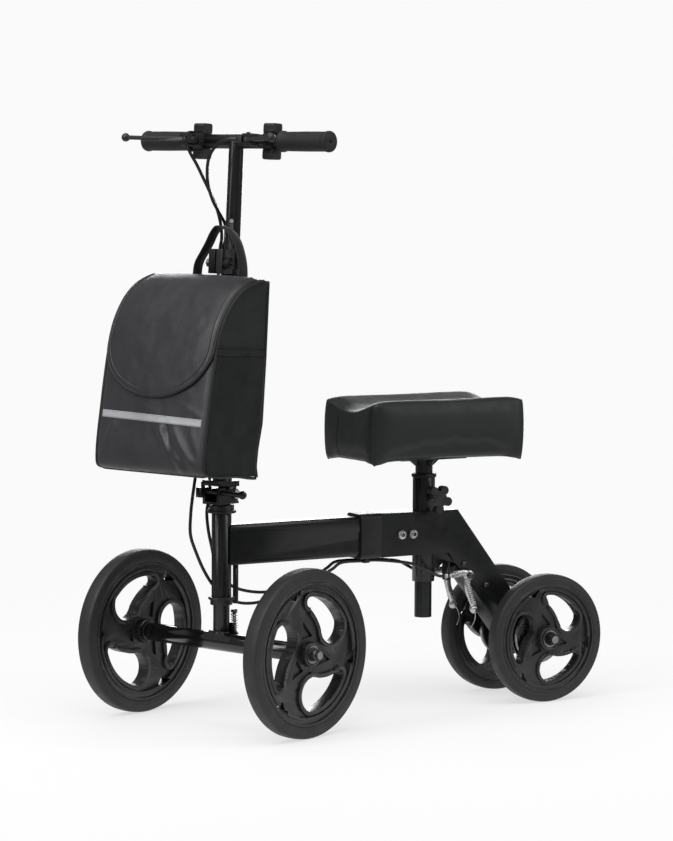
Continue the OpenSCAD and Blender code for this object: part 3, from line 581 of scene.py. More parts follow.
def hollowed(piece, centre, axis, radius, phase):
    # cuts three blind triangular pockets round the hub into both faces
    up = Vector((0, 0, 1))
    side = axis.cross(up).normalized() * -1
    cutters = []
    for turn in range(3):
        corners = []
        for share, angle in ((0.215, 72), (0.215, 124), (0.40, 104)):
            t = math.radians(angle + phase + 120 * turn)
            corners.append(side * (share * radius * math.cos(t)) + up * (share * radius * math.sin(t)))
        for low, high in ((2.0, 9.0), (-9.0, -2.0)):
            points = [centre + (c + axis * d) * mm for d in (low, high) for c in corners]
            cutters.append(newPiece("cutter", points, [(0, 1, 2), (5, 4, 3), (0, 3, 4, 1), (1, 4, 5, 2), (2, 5, 3, 0)],
                                    None, smooth=False))
    cutter = joined("cutter", cutters)
    cut = piece.modifiers.new("pockets", "BOOLEAN")
    cut.operation = "DIFFERENCE"
    cut.object = cutter
    cut.solver = "EXACT"
    applied(piece)
    bpy.data.objects.remove(cutter)
    return piece


def makeWheels():
    for end, place, parent in (("front", onSteering, "steering"), ("rear", onRear, "frame")):
        size = wheels[end]
        for side, sign in (("left", 1), ("right", -1)):
            body = f"wheel_{end}_{side}"
            centre = place(0, sign * size["half"], size["height"])
            axis = (place(0, 1, 0) - place(0, 0, 0)) * sign
            tyre = lathe(f"tyre_{end}_{side}", tyreProfile(size["radius"], size["width"]), centre, axis,
                         finishes["tyreRubber"], 128)
            settled(tyre, body, "tyre_rubber", f"{end}_tyre_{side}")
            wheel = bevelledCopy(f"{end}_wheel_{side}", finishes["wheelPlastic"], 1.1, 3)
            hollowed(wheel, centre, axis.normalized(), size["radius"], size["phase"][side])
            settled(wheel, body, "wheel_plastic", f"{end}_wheel_{side}")
            hub = wheels["hubWidth"] / 2
            cap = lathe(f"hub_cap_{end}_{side}",
                        [(7.5, hub - 3), (16.5, hub - 3), (18.2, hub - 1.5), (18.6, hub + 0.2), (17.4, hub + 0.9),
                         (15.4, hub + 0.4), (13.4, hub - 1.2), (8.6, hub - 1.6)],
                        centre, axis, finishes["wheelPlastic"], 64)
            settled(cap, body, "wheel_plastic")
    print("wheels made")


makeWheels()

# ---- grips, brackets and levers ----
bars = {"height": 884, "halfLength": 182, "gripLength": 95, "gripRadius": 15, "clampAt": 71,
        "pivotForward": 44, "pivotAside": 63}


def makeGrips():
    outer = bars["halfLength"] + 5
    inner = outer - bars["gripLength"]
    barRadius = 11.1
    for side, sign in (("left", 1), ("right", -1)):
        start = onStem(0, 0, bars["height"])
        axis = (onStem(0, sign, bars["height"]) - start)
        r = bars["gripRadius"]
        profile = [(barRadius, inner), (r + 0.6, inner), (r + 1, inner + 0.8), (r + 1, inner + 4),
                   (r + 0.2, inner + 5), (r - 0.6, inner + 7), (r - 0.4, inner + 20), (r - 0.1, inner + 50),
                   (r - 0.2, outer - 12), (r - 0.1, outer - 7), (r + 0.7, outer - 5.6), (r + 0.9, outer - 3),
                   (r + 0.3, outer - 0.8), (r - 1.6, outer), (5, outer + 0.1), (2.6, outer - 0.1),
                   (2.2, outer - 0.6), (2.1, outer - 4), (0, outer - 4)]
        profile += [(0, outer - 6), (barRadius, outer - 6)]
        grip = lathe(f"grip_rubber_{side}", profile, start, axis, finishes["gripRubber"], 72)
        settled(grip, "bars", "grip_rubber", f"grip_{side}")
    print("grips made")


makeGrips()

for node, width in (("rear_frame", 2.2), ("stem_clamp", 1.2), ("clamp_lever", 1.2), ("fold_latch", 1.0),
                    ("beam_collar", 0.8), ("lever_perch_left", 1.5), ("lever_perch_right", 1.5),
                    ("brake_lever_left", 1.6), ("brake_lever_right", 1.6), ("seat_knob", 1.4),
                    ("rear_axle_nuts", 0.5), ("cable_clip", 0.8),
                    ("cable_guide_bar", 0.7), ("seat_plate", 0.6), ("bracket_bolts", 0.4),
                    ("steering_column", 0.7), ("stem_tube", 0.8), ("headset_cups", 0.8), ("seat_tube_bushing", 0.8),
                    ("main_frame", 0.8), ("bag_straps", 0.5), ("handlebar", 0.8)):
    slot = [row["material_slot"] for row in frame["record"]["subparts"] if row["node"] == node][0]
    body = frame["nodes"][node]["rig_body"]
    settled(bevelledCopy(node, finishes[slotFinish[slot]], width), body, slot, node)
settled(bevelledCopy("front_axle_nuts", finishes["darkSteel"], 0.5), "steering", "bright_steel", "front_axle_nuts")
print("edges rounded")


# ---- knee cushion ----
cushion = {"dish": 18.0, "droop": 8.0, "arch": 2.5, "corner": 13.0, "voxel": 5.0, "pressure": 4.0, "cap": 2.2,
           "inset": -3.0, "raise": 6.0}
seatLow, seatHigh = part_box("knee_cushion")


def cushionShell():
    # a closed box of quads whose top is dished along its length and whose lower corners hang down
    centre = (seatLow + seatHigh) / 2
    half = (seatHigh - seatLow) / 2 - Vector((1, 1, -0.4)) * cushion["inset"] * mm
    centre.z += cushion["raise"] / 2 * mm
    half.z += cushion["raise"] / 2 * mm
    bm = bmesh.new()
    bmesh.ops.create_cube(bm, size=2)
    bmesh.ops.subdivide_edges(bm, edges=bm.edges, cuts=23, use_grid_fill=True)
    radius = cushion["corner"] * mm
    for vertex in bm.verts:
        u, v, w = vertex.co
        x, y = u * half.x, v * half.y
        # vertical corners rounded
        over = Vector((max(0, abs(x) - (half.x - radius)), max(0, abs(y) - (half.y - radius))))
        if over.x > 0 and over.y > 0:
            longest = max(over)
            over = over * (longest / over.length)
            x = math.copysign(half.x - radius + over.x, x)
            y = math.copysign(half.y - radius + over.y, y)
        # sides pull in between the corners and swell in the middle of their height
        swell = (1 - w * w) * 2.2 * mm
        x += math.copysign(swell, x) * abs(u) ** 8
        y += math.copysign(swell, y) * abs(v) ** 8
        top = half.z - cushion["dish"] * mm * max(0.0, math.cos(v * math.pi / 2 * 0.98)) ** 1.5
        low = -half.z + cushion["arch"] * mm * (1 - u * u) * abs(v) ** 4
        low -= cushion["droop"] * mm * max(0.0, abs(u) - 0.78) / 0.22 * max(0.0, abs(v) - 0.6) / 0.4
        z = low + (top - low) * (w + 1) / 2
        vertex.co = centre + Vector((x, y, z))
    mesh = bpy.data.meshes.new("cushion")
    bm.to_mesh(mesh)
    bm.free()
    mesh.materials.append(finishes["cushionCover"])
    piece = bpy.data.objects.new("cushion", mesh)
    bpy.context.scene.collection.objects.link(piece)
    return piece


def swollen(piece, voxel, pressure, cap, pinned=None):
    # fills a closed shell with air as cloth, and keeps every point within cap of where it was
    remesh = piece.modifiers.new("remesh", "REMESH")
    remesh.mode = "VOXEL"
    remesh.voxel_size = voxel * mm
    applied(piece)
    start = [v.co.copy() for v in piece.data.vertices]
    cloth = piece.modifiers.new("cloth", "CLOTH")
    settings = cloth.settings
    settings.quality = 6
    settings.mass = 0.3
    settings.tension_stiffness = settings.compression_stiffness = settings.shear_stiffness = 18
    settings.bending_stiffness = 2.0
    settings.use_pressure = True
    settings.uniform_pressure_force = pressure
    settings.effector_weights.gravity = 0
    scene = bpy.context.scene
    for step in range(1, 21):
        scene.frame_set(step)
    applied(piece)
    scene.frame_set(1)
    for vertex, before in zip(piece.data.vertices, start):
        moved = vertex.co - before
        if moved.length > cap * mm:
            vertex.co = before + moved * (cap * mm / moved.length)
    smoothing = piece.modifiers.new("smooth", "SMOOTH")
    smoothing.factor = 0.5
    smoothing.iterations = 3
    subdivision = piece.modifiers.new("subdivision", "SUBSURF")
    subdivision.levels = subdivision.render_levels = 1
    applied(piece)
    for polygon in piece.data.polygons:
        polygon.use_smooth = True
    return piece


def groove(piece, inLine, direction, width, depth):
    # presses a narrow line into the cover; inLine gives a point's distance from the seam in metres
    for vertex in piece.data.vertices:
        away = inLine(vertex.co) / (width * mm)
        if abs(away) < 3:
            vertex.co -= direction(vertex.co) * depth * mm * math.exp(-away * away)


def makeCushion():
    piece = swollen(cushionShell(), cushion["voxel"], cushion["pressure"], cushion["cap"])
    centre = (seatLow + seatHigh) / 2
    half = (seatHigh - seatLow) / 2
    seamAt = centre.y - half.y * 0.34
    groove(piece, lambda p: (p.y - seamAt) if p.x > centre.x + half.x * 0.9 and p.z < seatHigh.z - 0.024 else 1.0,
           lambda p: Vector((1, 0, 0)), 1.8, 1.3)
    for sx in (1, -1):
        for sy in (1, -1):
            out = Vector((sx, sy, 0)).normalized()
            across = Vector((-sy, sx, 0)).normalized()
            corner = centre + Vector((sx * (half.x - 0.006), sy * (half.y - 0.006), 0))
            groove(piece, lambda p: (p - corner).dot(across) if (p - corner).dot(out) > -0.012
                   and p.z < seatHigh.z - 0.018 else 1.0, lambda p: out, 1.6, 0.9)
    settled(piece, "seat", "cushion_cover", "knee_cushion")
    print("cushion made,", len(piece.data.polygons), "faces")
    return piece


cushionPiece = makeCushion()


# ---- bag ----
bag = {"half": 109.0, "lip": 618.0, "flapEdge": 572.0, "flapLow": 494.0, "flapHalf": 107.5, "flapTop": 675.0,
       "sink": 4.0, "bulge": 4.5, "hem": 8.0,
       "front": [(150, 387), (160, 393), (162, 416), (160, 446), (156.5, 478), (152, 520), (145.5, 565), (135, 606),
                 (115, 641), (89, 664), (62, 675), (45, 677.5)],
       "rear": [(43, 384), (47, 402), (45, 428), (38, 466), (36, 560), (36, 677)]}


def onProfile(points, height):
    # distance ahead of the stem of a side profile at a height
    for (a0, z0), (a1, z1) in zip(points, points[1:]):
        if z0 <= height <= z1:
            return a0 + (a1 - a0) * (height - z0) / (z1 - z0)
    return points[0][0] if height < points[0][1] else points[-1][0]


frontLine = [(p.x, p.y) for p in spline([Vector((a, z)) for a, z in bag["front"]], 8)]
frontRun = [0.0]
for before, here in zip(frontLine, frontLine[1:]):
    frontRun.append(frontRun[-1] + math.dist(before, here))


def runAt(height):
    return next((r for (a, z), r in zip(frontLine, frontRun) if z >= height), frontRun[-1])


def frontPoint(run, b, out=0.0):
    # a point of the bag's front and top, by how far it is along the side profile and across
    run = min(max(run, 0.0), frontRun[-1] - 1e-3)
    i = max(k for k in range(len(frontRun) - 1) if frontRun[k] <= run)
    (a0, z0), (a1, z1) = frontLine[i], frontLine[i + 1]
    t = (run - frontRun[i]) / (frontRun[i + 1] - frontRun[i])
    a, z = a0 + (a1 - a0) * t, z0 + (z1 - z0) * t
    length = math.hypot(a1 - a0, z1 - z0)
    normalA, normalZ = (z1 - z0) / length, -(a1 - a0) / length
    edge = 1 - min(1, abs(b) / bag["half"]) ** 4
    rise = min(1, run / 30) * min(1, (frontRun[-1] - run) / 60)
    out += edge * bag["bulge"] * rise + edge * rise * clothWaves(b, z)
    out -= 2.2 * max(0, abs(b) - bag["half"] + 8) / 8
    return a + normalA * out, b, z + normalZ * out


def clothWaves(b, z):
    # slack folds running down to the lower left corner, and smaller creases
    made = 1.3 * noise.noise(Vector((b * 0.022, z * 0.03, 3.1))) + 0.5 * noise.noise(Vector((b * 0.07, z * 0.06, 8)))
    low = max(0.0, min(1.0, (500 - z) / 30))
    for b0, z0, b1, z1, width, height in ((18, 458, 72, 390, 8, 4.2), (46, 458, 98, 394, 7, 3.8),
                                          (56, 494, 100, 474, 6, 2.6), (33, 456, 62, 390, 6, -3.0),
                                          (-72, 458, -98, 400, 8, 2.6), (66, 482, 96, 500, 6, 2.2),
                                          (-30, 492, 10, 474, 5, 1.0), (84, 452, 100, 420, 6, 2.4)):
        length = math.hypot(b1 - b0, z1 - z0)
        along = ((b - b0) * (b1 - b0) + (z - z0) * (z1 - z0)) / length
        away = abs((b - b0) * (z1 - z0) - (z - z0) * (b1 - b0)) / length
        fade = max(0.0, min(1.0, (along + 8) / 16)) * max(0.0, min(1.0, (length + 12 - along) / 20))
        made += low * height * fade * math.exp(-(away / width) ** 2)
    return made


def clothGrid(name, rows, material, flat, thickness=1.2):
    # rows of stem-frame points with flat cloth places, given a thickness
    piece = gridPiece(name, [placed(onStem, row) for row in rows], material,
                      weave=[(u * mm, v * mm) for row in flat for u, v in row])
    shell = piece.modifiers.new("thickness", "SOLIDIFY")
    shell.thickness = thickness * mm
    shell.offset = 0
    applied(piece)
    return piece


def steps(low, high, count):
    return [low + (high - low) * k / count for k in range(count + 1)]


def baseAt(a):
    return 385 + (a - 43) * 0.03


def makeBag():
    pieces = []
    across = steps(-bag["half"], bag["half"], 90)
    runs = steps(0, runAt(bag["lip"]), 96)
    pieces.append(clothGrid("bag_front", [[frontPoint(r, b) for b in across] for r in runs], finishes["bagShell"],
                            [[(b, r) for b in across] for r in runs]))
    runs = steps(runAt(669), frontRun[-1], 12)
    pieces.append(clothGrid("bag_top", [[frontPoint(r, b) for b in across] for r in runs], finishes["bagShell"],
                            [[(b, r) for b in across] for r in runs]))
    heights = steps(387, 676, 84)
    shares = steps(0, 1, 32)

    def sidePoint(sign, z, share, out=0.0):
        back, front = onProfile(bag["rear"], z), onProfile(bag["front"][1:], z)
        front -= max(0.0, 396 - z) * 0.8
        a = back + (front - back) * share
        dip = math.sin(math.pi * share) ** 0.6 * math.sin(math.pi * min(1, max(0, (z - 386) / 292))) ** 0.4
        wave = 1.2 * noise.noise(Vector((a * 0.03, z * 0.02, 11 + sign))) * dip
        return a, sign * (bag["half"] - bag["sink"] * dip + wave + out), z

    for sign, label in ((1, "left"), (-1, "right")):
        pieces.append(clothGrid(f"bag_side_{label}", [[sidePoint(sign, z, u) for u in shares] for z in heights],
                                finishes["bagSide"],
                                [[(sidePoint(sign, z, u)[0], z) for u in shares] for z in heights]))
        pocket = steps(390, 566, 54)
        inner = steps(0.02, 0.97, 32)

        def pocketPoint(z, u):
            slack = 1.6 + 2.6 * math.sin(math.pi * u) ** 0.7 * max(0, (z - 388) / 178)
            return sidePoint(sign, z, u, slack)

        pieces.append(clothGrid(f"bag_pocket_{label}", [[pocketPoint(z, u) for u in inner] for z in pocket],
                                finishes["bagMesh"], [[(pocketPoint(z, u)[0], z) for u in inner] for z in pocket],
                                0.8))
        rows = [[(p[0], p[1] + sign * 0.9, z) for u in inner for p in [pocketPoint(min(z, 566), u)]]
                for z in steps(564, 573, 4)]
        pieces.append(clothGrid(f"pocket_hem_{label}", rows, finishes["strapCloth"],
                                [[(p[0], p[2]) for p in row] for row in rows], 1.6))
        seam = [frontPoint(r, sign * bag["half"], 0.3) for r in steps(2, frontRun[-1] - 2, 90)]
        pieces.append(tube(f"bag_piping_front_{label}", placed(onStem, seam), 2.5, finishes["blackPlastic"], 10))
        back = [(onProfile(bag["rear"], z) + 0.5, sign * (bag["half"] - 0.6), z) for z in steps(386, 675, 60)]
        pieces.append(tube(f"bag_piping_rear_{label}", placed(onStem, back), 2.5, finishes["blackPlastic"], 10))
        low = [(a, sign * (bag["half"] - 1.5), baseAt(a) + 1.0 * math.sin(a * 0.09)) for a in steps(45, 151, 24)]
        pieces.append(tube(f"bag_piping_low_{label}", placed(onStem, low), 2.3, finishes["blackPlastic"], 8))
    inside = steps(-bag["half"] + 1, bag["half"] - 1, 50)
    rows = [[(onProfile(bag["rear"], z), b, z) for b in inside] for z in heights]
    pieces.append(clothGrid("bag_back", rows, finishes["bagSide"], [[(p[1], p[2]) for p in row] for row in rows]))
    rows = [[(a, b, baseAt(a) - 1.2 * math.cos(b * 0.05) * math.sin((a - 40) * 0.028)) for b in inside]
            for a in steps(43, 152, 24)]
    pieces.append(clothGrid("bag_base", rows, finishes["bagSide"], [[(p[0], p[1]) for p in row] for row in rows]))
    low = [frontPoint(1, b) for b in steps(-107, 107, 60)]
    pieces.append(tube("bag_piping_low", placed(onStem, low), 2.3, finishes["blackPlastic"], 8))
    lip = [frontPoint(runAt(bag["lip"]), b) for b in steps(-107, 107, 60)]
    pieces.append(tube("bag_lip", placed(onStem, lip), 1.8, finishes["strapCloth"], 8))
    rows = [[frontPoint(runAt(461) + v - 0.022 * b, b, 0.9) for b in steps(-101, 101, 70)] for v in steps(0, 11, 6)]
    pieces.append(clothGrid("bag_reflector", rows, finishes["reflective"],
                            [[(p[1], p[2]) for p in row] for row in rows], 0.5))
    shell = joined("bag_shell", pieces)
    settled(shell, "stem", "bag_fabric", "bag_body")
    edge = [frontPoint(runAt(461) + v - 0.022 * b, b, 1.4) for v in (1.2, 9.8) for b in steps(-100, 100, 60)]
    rowsOfStitches = [stitches(f"reflector_stitches_{k}", placed(onStem, edge[k * 61:(k + 1) * 61]),
                               finishes["strapCloth"], 3.2, 0.5, 2.2) for k in (0, 1)]
    settled(joined("reflector_stitches", rowsOfStitches), "stem", "bag_fabric")
    print("bag body made,", len(shell.data.polygons), "faces")


def flapOutline(inset=0.0):
    # (run, half width) pairs from the back of the flap to its lowest point
    start, edge = runAt(bag["flapTop"]), runAt(bag["flapEdge"])
    drop = edge - runAt(bag["flapLow"])
    made = [(r, bag["flapHalf"] - inset) for r in steps(start, edge, 44)]
    turn = [math.radians(90) * k / 44 for k in range(1, 45)]
    made += [(edge - (drop - inset) * math.sin(t), (bag["flapHalf"] - inset) * math.cos(t)) for t in turn]
    return made


def makeFlap():
    shares = steps(-1, 1, 64)
    lift = 3.2

    def flapPoint(run, b, half, out=0.0):
        rim = abs(b) / bag["flapHalf"]
        puff = 1.6 * (1 - min(1, rim) ** 3) * min(1, max(0, half) / 60)
        return frontPoint(run, b, lift + puff + out)

    outline = flapOutline()
    rows, flat = [], []
    for run, half in outline:
        half = max(half, 0.8)
        rows.append([flapPoint(run, u * half, half) for u in shares])
        flat.append([(u * half, run) for u in shares])
    panel = clothGrid("flap_panel", rows, finishes["bagShell"], flat, 2.0)
    border = [flapPoint(r, h, h, -0.3) for r, h in outline] + \
             [flapPoint(r, -h, h, -0.3) for r, h in reversed(outline[:-1])]
    binding = tube("flap_binding", placed(onStem, border), 2.1, finishes["blackPlastic"], 10)
    inner = flapOutline(bag["hem"])
    line = [flapPoint(r, h, h, 0.9) for r, h in inner] + [flapPoint(r, -h, h, 0.9) for r, h in reversed(inner[:-1])]
    ridge = tube("flap_ridge", placed(onStem, line), 1.3, finishes["bagShell"], 8)
    settled(joined("flap_cover", [panel, binding, ridge]), "flap", "bag_fabric", "bag_flap")
    middle = flapOutline(bag["hem"] * 0.5)
    line = [flapPoint(r, h, h, 1.2) for r, h in middle] + [flapPoint(r, -h, h, 1.2) for r, h in reversed(middle[:-1])]
    settled(stitches("flap_stitches", placed(onStem, line), finishes["strapCloth"], 3.4, 0.5, 2.4), "flap",
            "bag_fabric")
    print("flap made")


def makeLoop():
    route = [(46, 640), (47, 668), (47, 690), (42, 712), (31, 735), (15, 750), (-3, 755), (-14, 746), (-24, 729),
             (-34, 714), (-43, 700), (-46, 684), (-46, 640)]
    path = spline([onStem(25, b, z) for b, z in route], 8)
    ahead = (onStem(1, 0, 700) - onStem(0, 0, 700)).normalized()
    flatBand = [(-1.1, -9), (-1.3, 0), (-1.1, 9), (0, 9.4), (1.1, 9), (1.3, 0), (1.1, -9), (0, -9.4)]
    loop = sweep("carry_loop", path, [(s * mm, u * mm) for s, u in flatBand], finishes["webbing"], up=ahead,
                 woven=True)
    settled(loop, "stem", "webbing", "bag_handle")
    print("carry loop made")


makeBag()
makeFlap()
makeLoop()


# ---- brake cables ----
cableRoutes = {
    "left": {
        "upper": [(46, 44, 884), (51, 28, 884), (52, 10, 877), (50, -6, 862), (46, -15, 844), (39, -19, 818),
                  (26, -20, 794), (10, -19, 774), (-2, -18, 758)],
        "stem": [(-6, -20, 736), (-7, -25, 724), (-8, -26, 700), (-8, -25, 670), (-4, -22, 600), (-2, -21, 520),
                 (2, -22, 450), (3, -24, 405), (1, -25, 374)],
        "lower": [(14, -21, 324), (13, -18, 296), (7, -18, 270), (0, -20, 245), (-12, -20, 224), (-34, -17, 205),
                  (-76, -12, 196), (-120, -4, 201), (-160, 3, 212), (-190, 7, 226), (-208, 8, 236)]},
    "right": {
        "upper": [(46, -58, 873), (42, -54, 862), (36, -46, 846), (30, -37, 826), (22, -30, 806), (12, -26, 786),
                  (2, -26, 766), (-4, -27, 748)],
        "stem": [(-6, -28, 736), (-8, -32, 724), (-8, -33, 700), (-6, -32, 670), (0, -29, 600), (8, -28, 520),
                 (18, -28, 450), (25, -29, 405), (29, -29, 374)],
        "lower": [(45, -15, 320), (45, -15, 290), (33, -17, 260), (20, -19, 235), (5, -20, 213), (-12, -20, 196),
                  (-32, -17, 184), (-64, -14, 180), (-110, -13, 188), (-155, -12, 206), (-190, -9, 226),
                  (-208, -8, 236)]},
    "rear": [(298, 8, 236), (280, 8, 236), (250, 12, 233), (220, 20, 228), (198, 26, 218), (182, 27, 210),
             (170, 27, 206), (152, 27, 206)],
    "stemEnd": {"left": (0, -25, 346), "right": (33, -29, 346)},
}


def makeCables():
    made = {part: [] for part in ("upper", "stem", "lower", "rear")}
    steps = 6
    for side, sign in (("left", 1), ("right", -1)):
        routes = cableRoutes[side]
        parts = {"upper": placed(onStem, routes["upper"]), "stem": placed(onStem, routes["stem"]),
                 "lower": [onStem(*cableRoutes["stemEnd"][side])] + [onFrame(steerX + x, y, z)
                                                                     for x, y, z in routes["lower"]],
                 "rear": [onRear(x, sign * y, z) for x, y, z in cableRoutes["rear"]]}
        whole = [p for part in parts.values() for p in part]
        smooth = spline(whole, steps)
        first = 0
        for part, points in parts.items():
            last = min(first + steps * len(points), len(smooth) - 1)
            made[part].append(tube(f"cable_{part}_{side}", smooth[first:last + 1], 2.5, finishes["cableSheath"], 12))
            first = last
    cables = {part: joined(f"brake_cable_{part}", pieces) for part, pieces in made.items()}
    for part, piece in cables.items():
        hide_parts(f"brake_cables_{part}")
    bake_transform(cables["upper"])
    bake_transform(cables["stem"])
    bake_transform(cables["lower"])
    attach(cables["rear"], "frame")
    print("cables made")


makeCables()



# ---- front axle beam, its gussets and the parts behind the column ----
axleSizes = {"height": 127.0, "radius": 14.0, "half": 150.0, "column": 12.5}


def slab(name, outline, place, low, high, material):
    # a flat plate: an outline of two measures, given a thickness along the third
    n = len(outline)
    points = [place(low, *p) for p in outline] + [place(high, *p) for p in outline]
    faces = [tuple(range(n)), tuple(reversed(range(n, 2 * n)))]
    faces += [(k, (k + 1) % n, n + (k + 1) % n, n + k) for k in range(n)]
    piece = newPiece(name, points, faces, material, smooth=False)
    bevel = piece.modifiers.new("edges", "BEVEL")
    bevel.width = 0.6 * mm
    bevel.segments = 2
    bevel.limit_method = "ANGLE"
    return applied(piece)


def makeAxleBeam():
    size = axleSizes
    centre = onSteering(0, 0, size["height"])
    axis = onSteering(0, 1, size["height"]) - centre
    r, half = size["radius"], size["half"]
    profile = [(7.0, -half), (r - 1, -half), (r, -half + 1), (r, half - 1), (r - 1, half), (7.0, half)]
    pieces = [lathe("axle_tube", profile, centre, axis, finishes["axlePaint"], 64)]
    for a in (-13.5, 10.5):
        rise = 20 if a < 0 else 9
        outline = [(-32, 8), (-24, 9 + rise * 0.2), (-17, 9 + rise * 0.55), (-13, 9 + rise), (13, 9 + rise),
                   (17, 9 + rise * 0.55), (24, 9 + rise * 0.2), (32, 8), (26, 2), (-26, 2)]
        pieces.append(slab("axle_gusset", outline, lambda t, b, up: onSteering(t, b, size["height"] + up), a, a + 3,
                           finishes["framePaint"]))
    ring = [(size["column"] + 0.2, r - 3), (size["column"] + 3, r - 2.5), (size["column"] + 1.6, r + 2),
            (size["column"] + 0.2, r + 3)]
    pieces.append(lathe("axle_weld", ring, centre, Vector((0, 0, 1)), finishes["framePaint"], 48))
    settled(joined("axle_beam", pieces), "steering", "axle_paint", "front_axle_beam")
    base = onSteering(-22, 8, 147)
    top = onSteering(-20, 8, 170)
    settled(coilSpring("steering_spring", base, top, 4.6, 0.9, 6, finishes["brightSteel"]), "steering",
            "bright_steel")
    bolt = tube("steering_bolt", [onSteering(-22.5, 8, 138), onSteering(-20, 8, 174)], 2.4, finishes["darkSteel"], 12)
    nut = tube("steering_bolt_nut", [onSteering(-20, 8, 171), onSteering(-19.7, 8, 175)], 5.2,
               finishes["darkSteel"], 6)
    settled(joined("steering_bolt_set", [bolt, nut]), "steering", "bright_steel")
    print("axle beam made")


# ---- rear brake parts ----
brakes = {"pivot": (118, 27, 204), "adjuster": (151, 27, 206)}


def makeBrakes():
    for side, sign in (("left", 1), ("right", -1)):
        px, py, pz = brakes["pivot"]

        def at(x, y, z):
            return onRear(px + x, sign * (py + y), pz + z)

        arm = [at(-1, 1, 2), at(3, 1.5, -10), at(2, 2, -24), at(-4, 2.5, -38), at(-9, 3, -50)]
        line = spline(arm, 8)
        flat = [(2.4 * math.cos(t) , 5.6 * math.sin(t)) for t in (math.tau * k / 14 for k in range(14))]
        bar = sweep(f"arm_bar_{side}", line, [(s * mm, u * mm) for s, u in flat], finishes["brightSteel"],
                    up=Vector((1, 0, 0.25)).normalized())
        lug = spline([at(-4, 0, 1), at(8, 0, 4), at(20, 0, 3.5), at(29, 0, 3)], 6)
        link = sweep(f"arm_link_{side}", lug, [(s * mm, u * mm) for s, u in flat], finishes["brightSteel"],
                     up=Vector((0, 0, 1)))
        boss = lathe(f"arm_boss_{side}", [(3.2, -3.4), (7.4, -3.4), (8.2, -2.4), (8.2, 2.4), (7.4, 3.4), (3.2, 3.4)],
                     at(0, 0, 0), Vector((0, 1, 0)), finishes["brightSteel"], 40)
        ball = lathe(f"arm_ball_{side}", [(0, -6.8), (3.2, -6.0), (5.6, -3.6), (6.5, 0), (5.6, 3.6), (3.2, 6.0),
                                          (0, 6.8)], at(-8, 3, -54), Vector((0.3, 0.2, 1)),
                     finishes["brightSteel"], 32)
        arms = joined(f"brake_arm_look_{side}", [bar, link, boss, ball])
        settled(arms, f"arm_{side}", "bright_steel", f"brake_arm_{side}")
        pivot = lathe(f"pivot_bolt_{side}", [(0, 3.6), (4.6, 3.6), (5.2, 4.4), (5.0, 7.2), (4.2, 8.0), (0, 8.2)],
                      at(0, 0, 0), Vector((0, sign, 0)), finishes["darkSteel"], 6)
        settled(pivot, "frame", "bright_steel")
        coil = coilSpring(f"return_spring_{side}", at(7, 4.5, -6), at(-6, 6.5, -46), 3.6, 0.75, 13,
                          finishes["brightSteel"])
        settled(coil, f"arm_{side}", "bright_steel")
        cable = coilSpring(f"cable_spring_{side}", at(20, -0.5, 3.4), at(32, 0, 2.2), 4.3, 0.8, 6,
                           finishes["brightSteel"])
        settled(cable, "frame", "bright_steel")
        bends = [at(-9, 3, -54), at(-14, -1, -62), at(-15, -5, -74), at(-11, -7 - 3 * sign, -86)]
        hang = spline(bends, 8)
        wire = tube(f"wire_end_{side}", hang, 0.7, finishes["brightSteel"], 8)
        settled(wire, f"arm_{side}", "bright_steel")
    # a clamp block joins the two arms above their pivots
    block = slab("brake_block", [(-9, -4), (9, -4), (9, 5), (5, 8), (-5, 8), (-9, 5)],
                 lambda t, x, up: onRear(brakes["pivot"][0] + 14 + x, t, brakes["pivot"][2] + 8 + up), -16, 16,
                 finishes["darkSteel"])
    settled(block, "frame", "bright_steel")
    for x, z in ((82, 186), (124, 222)):
        for sign in (1, -1):
            bolt = lathe("leg_bolt", [(0, 0), (4.4, 0), (4.6, 1.2), (3.6, 2.6), (0, 3.0)],
                         onRear(x, sign * legHalf, z), Vector((0, sign, 0)), finishes["darkSteel"], 24)
            settled(bolt, "frame", "bright_steel")
    print("brake parts made")


legLow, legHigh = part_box("rear_frame")
legHalf = 22.0
makeAxleBeam()
makeBrakes()

# ---- floor, light and camera ----
stage = {"white": (0.93, 0.93, 0.93), "lens": 136.35, "camera": (2.547, 4.194, 0.870),
         "target": (0.036, 0.003, 0.456), "roll": 0.31, "room": 0.24, "backdrop": 0.955, "floorInner": 0.55, "floorOuter": 1.6, "shadowShare": 0.35,
         "ceiling": 2.35, "ceilingSpread": 70, "ceilingFrom": (0.35, 0.25, 1.0)}


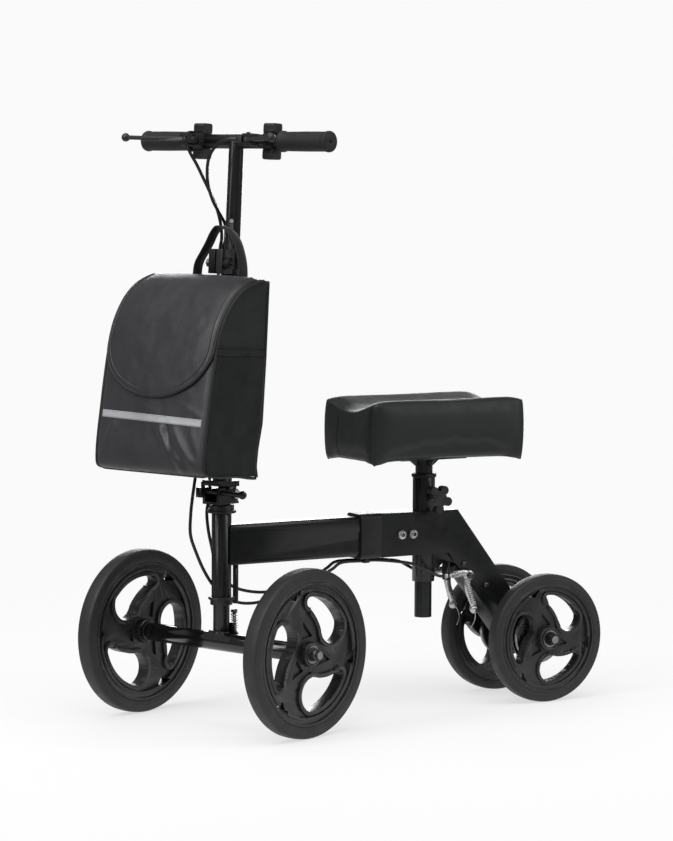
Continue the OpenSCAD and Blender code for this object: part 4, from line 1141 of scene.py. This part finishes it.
def makeFloor():
    material, tree, shader = newMaterial("floorWhite", stage["white"], 0.9, specular=0.1)
    addBump(tree, shader, addNoise(tree, 30, 2.0), 0.05, 0.1 * mm)
    where = addNode(tree, "TexCoord")
    reach = addNode(tree, "VectorMath", operation="LENGTH")
    tree.links.new(where.outputs["Object"], reach.inputs[0])
    fade = addNode(tree, "MapRange")
    fade.inputs["From Min"].default_value = stage["floorInner"]
    fade.inputs["From Max"].default_value = stage["floorOuter"]
    tree.links.new(reach.outputs["Value"], fade.inputs["Value"])
    clear = addNode(tree, "BsdfTransparent")
    mix = addNode(tree, "MixShader")
    tree.links.new(fade.outputs["Result"], mix.inputs["Fac"])
    glow = addNode(tree, "Emission", Strength=stage["backdrop"])
    lit = addNode(tree, "MixShader")
    lit.inputs["Fac"].default_value = stage["shadowShare"]
    tree.links.new(glow.outputs[0], lit.inputs[1])
    tree.links.new(shader.outputs[0], lit.inputs[2])
    tree.links.new(lit.outputs[0], mix.inputs[1])
    tree.links.new(clear.outputs[0], mix.inputs[2])
    tree.links.new(mix.outputs[0], tree.nodes["Material Output"].inputs["Surface"])
    size = stage["floorOuter"] + 0.2
    floor = newPiece("floor", [(-size, -size, 0), (size, -size, 0), (size, size, 0), (-size, size, 0)],
                     [(0, 1, 2, 3)], material)


def areaLight(name, place, aim, size, power, sizeY=None):
    data = bpy.data.lights.new(name, "AREA")
    data.energy = power
    data.size = size
    if sizeY:
        data.shape = "RECTANGLE"
        data.size_y = sizeY
    light = bpy.data.objects.new(name, data)
    bpy.context.scene.collection.objects.link(light)
    light.location = place
    light.rotation_euler = (Vector(aim) - Vector(place)).to_track_quat("-Z", "Y").to_euler()
    return light


def makeLights():
    # a pale studio: the object is lit mostly from above, and sees a dim room around it
    world = bpy.data.worlds.new("studio")
    bpy.context.scene.world = world
    world.use_nodes = True
    tree = world.node_tree
    room = tree.nodes["Background"]
    room.inputs["Strength"].default_value = stage["room"]
    backdrop = addNode(tree, "Background", Strength=stage["backdrop"])
    seen = addNode(tree, "LightPath")
    mix = addNode(tree, "MixShader")
    tree.links.new(seen.outputs["Is Camera Ray"], mix.inputs["Fac"])
    tree.links.new(room.outputs[0], mix.inputs[1])
    tree.links.new(backdrop.outputs[0], mix.inputs[2])
    tree.links.new(mix.outputs[0], tree.nodes["World Output"].inputs["Surface"])
    for node in (room, backdrop):
        node.inputs["Color"].default_value = (1, 1, 1, 1)
    data = bpy.data.lights.new("ceiling", "SUN")
    data.energy = stage["ceiling"]
    data.angle = math.radians(stage["ceilingSpread"])
    light = bpy.data.objects.new("ceiling", data)
    bpy.context.scene.collection.objects.link(light)
    light.rotation_euler = (-Vector(stage["ceilingFrom"])).to_track_quat("-Z", "Y").to_euler()
    areaLight("left_box", (3.0, 0.4, 1.9), (0.1, 0, 0.4), 0.9, 34, 2.2)
    areaLight("right_strip", (-2.4, 2.2, 1.5), (-0.1, 0, 0.4), 0.45, 22, 2.0)
    behind = areaLight("back_strip", (-1.7, -2.7, 1.15), (-0.1, 0, 0.45), 2.4, 62, 1.1)
    behind.visible_camera = False
    behind.visible_diffuse = False


def makeCamera():
    data = bpy.data.cameras.new("camera")
    data.lens = stage["lens"]
    data.sensor_width = 36
    camera = bpy.data.objects.new("camera", data)
    bpy.context.scene.collection.objects.link(camera)
    camera.location = stage["camera"]
    aim = (Vector(stage["target"]) - camera.location).to_track_quat("-Z", "Y")
    camera.rotation_euler = (aim.to_matrix() @ Matrix.Rotation(math.radians(stage["roll"]), 3, "Z")).to_euler()
    bpy.context.scene.camera = camera
    bpy.context.scene.view_settings.view_transform = "Standard"


makeFloor()
makeLights()
makeCamera()
print("stage made")
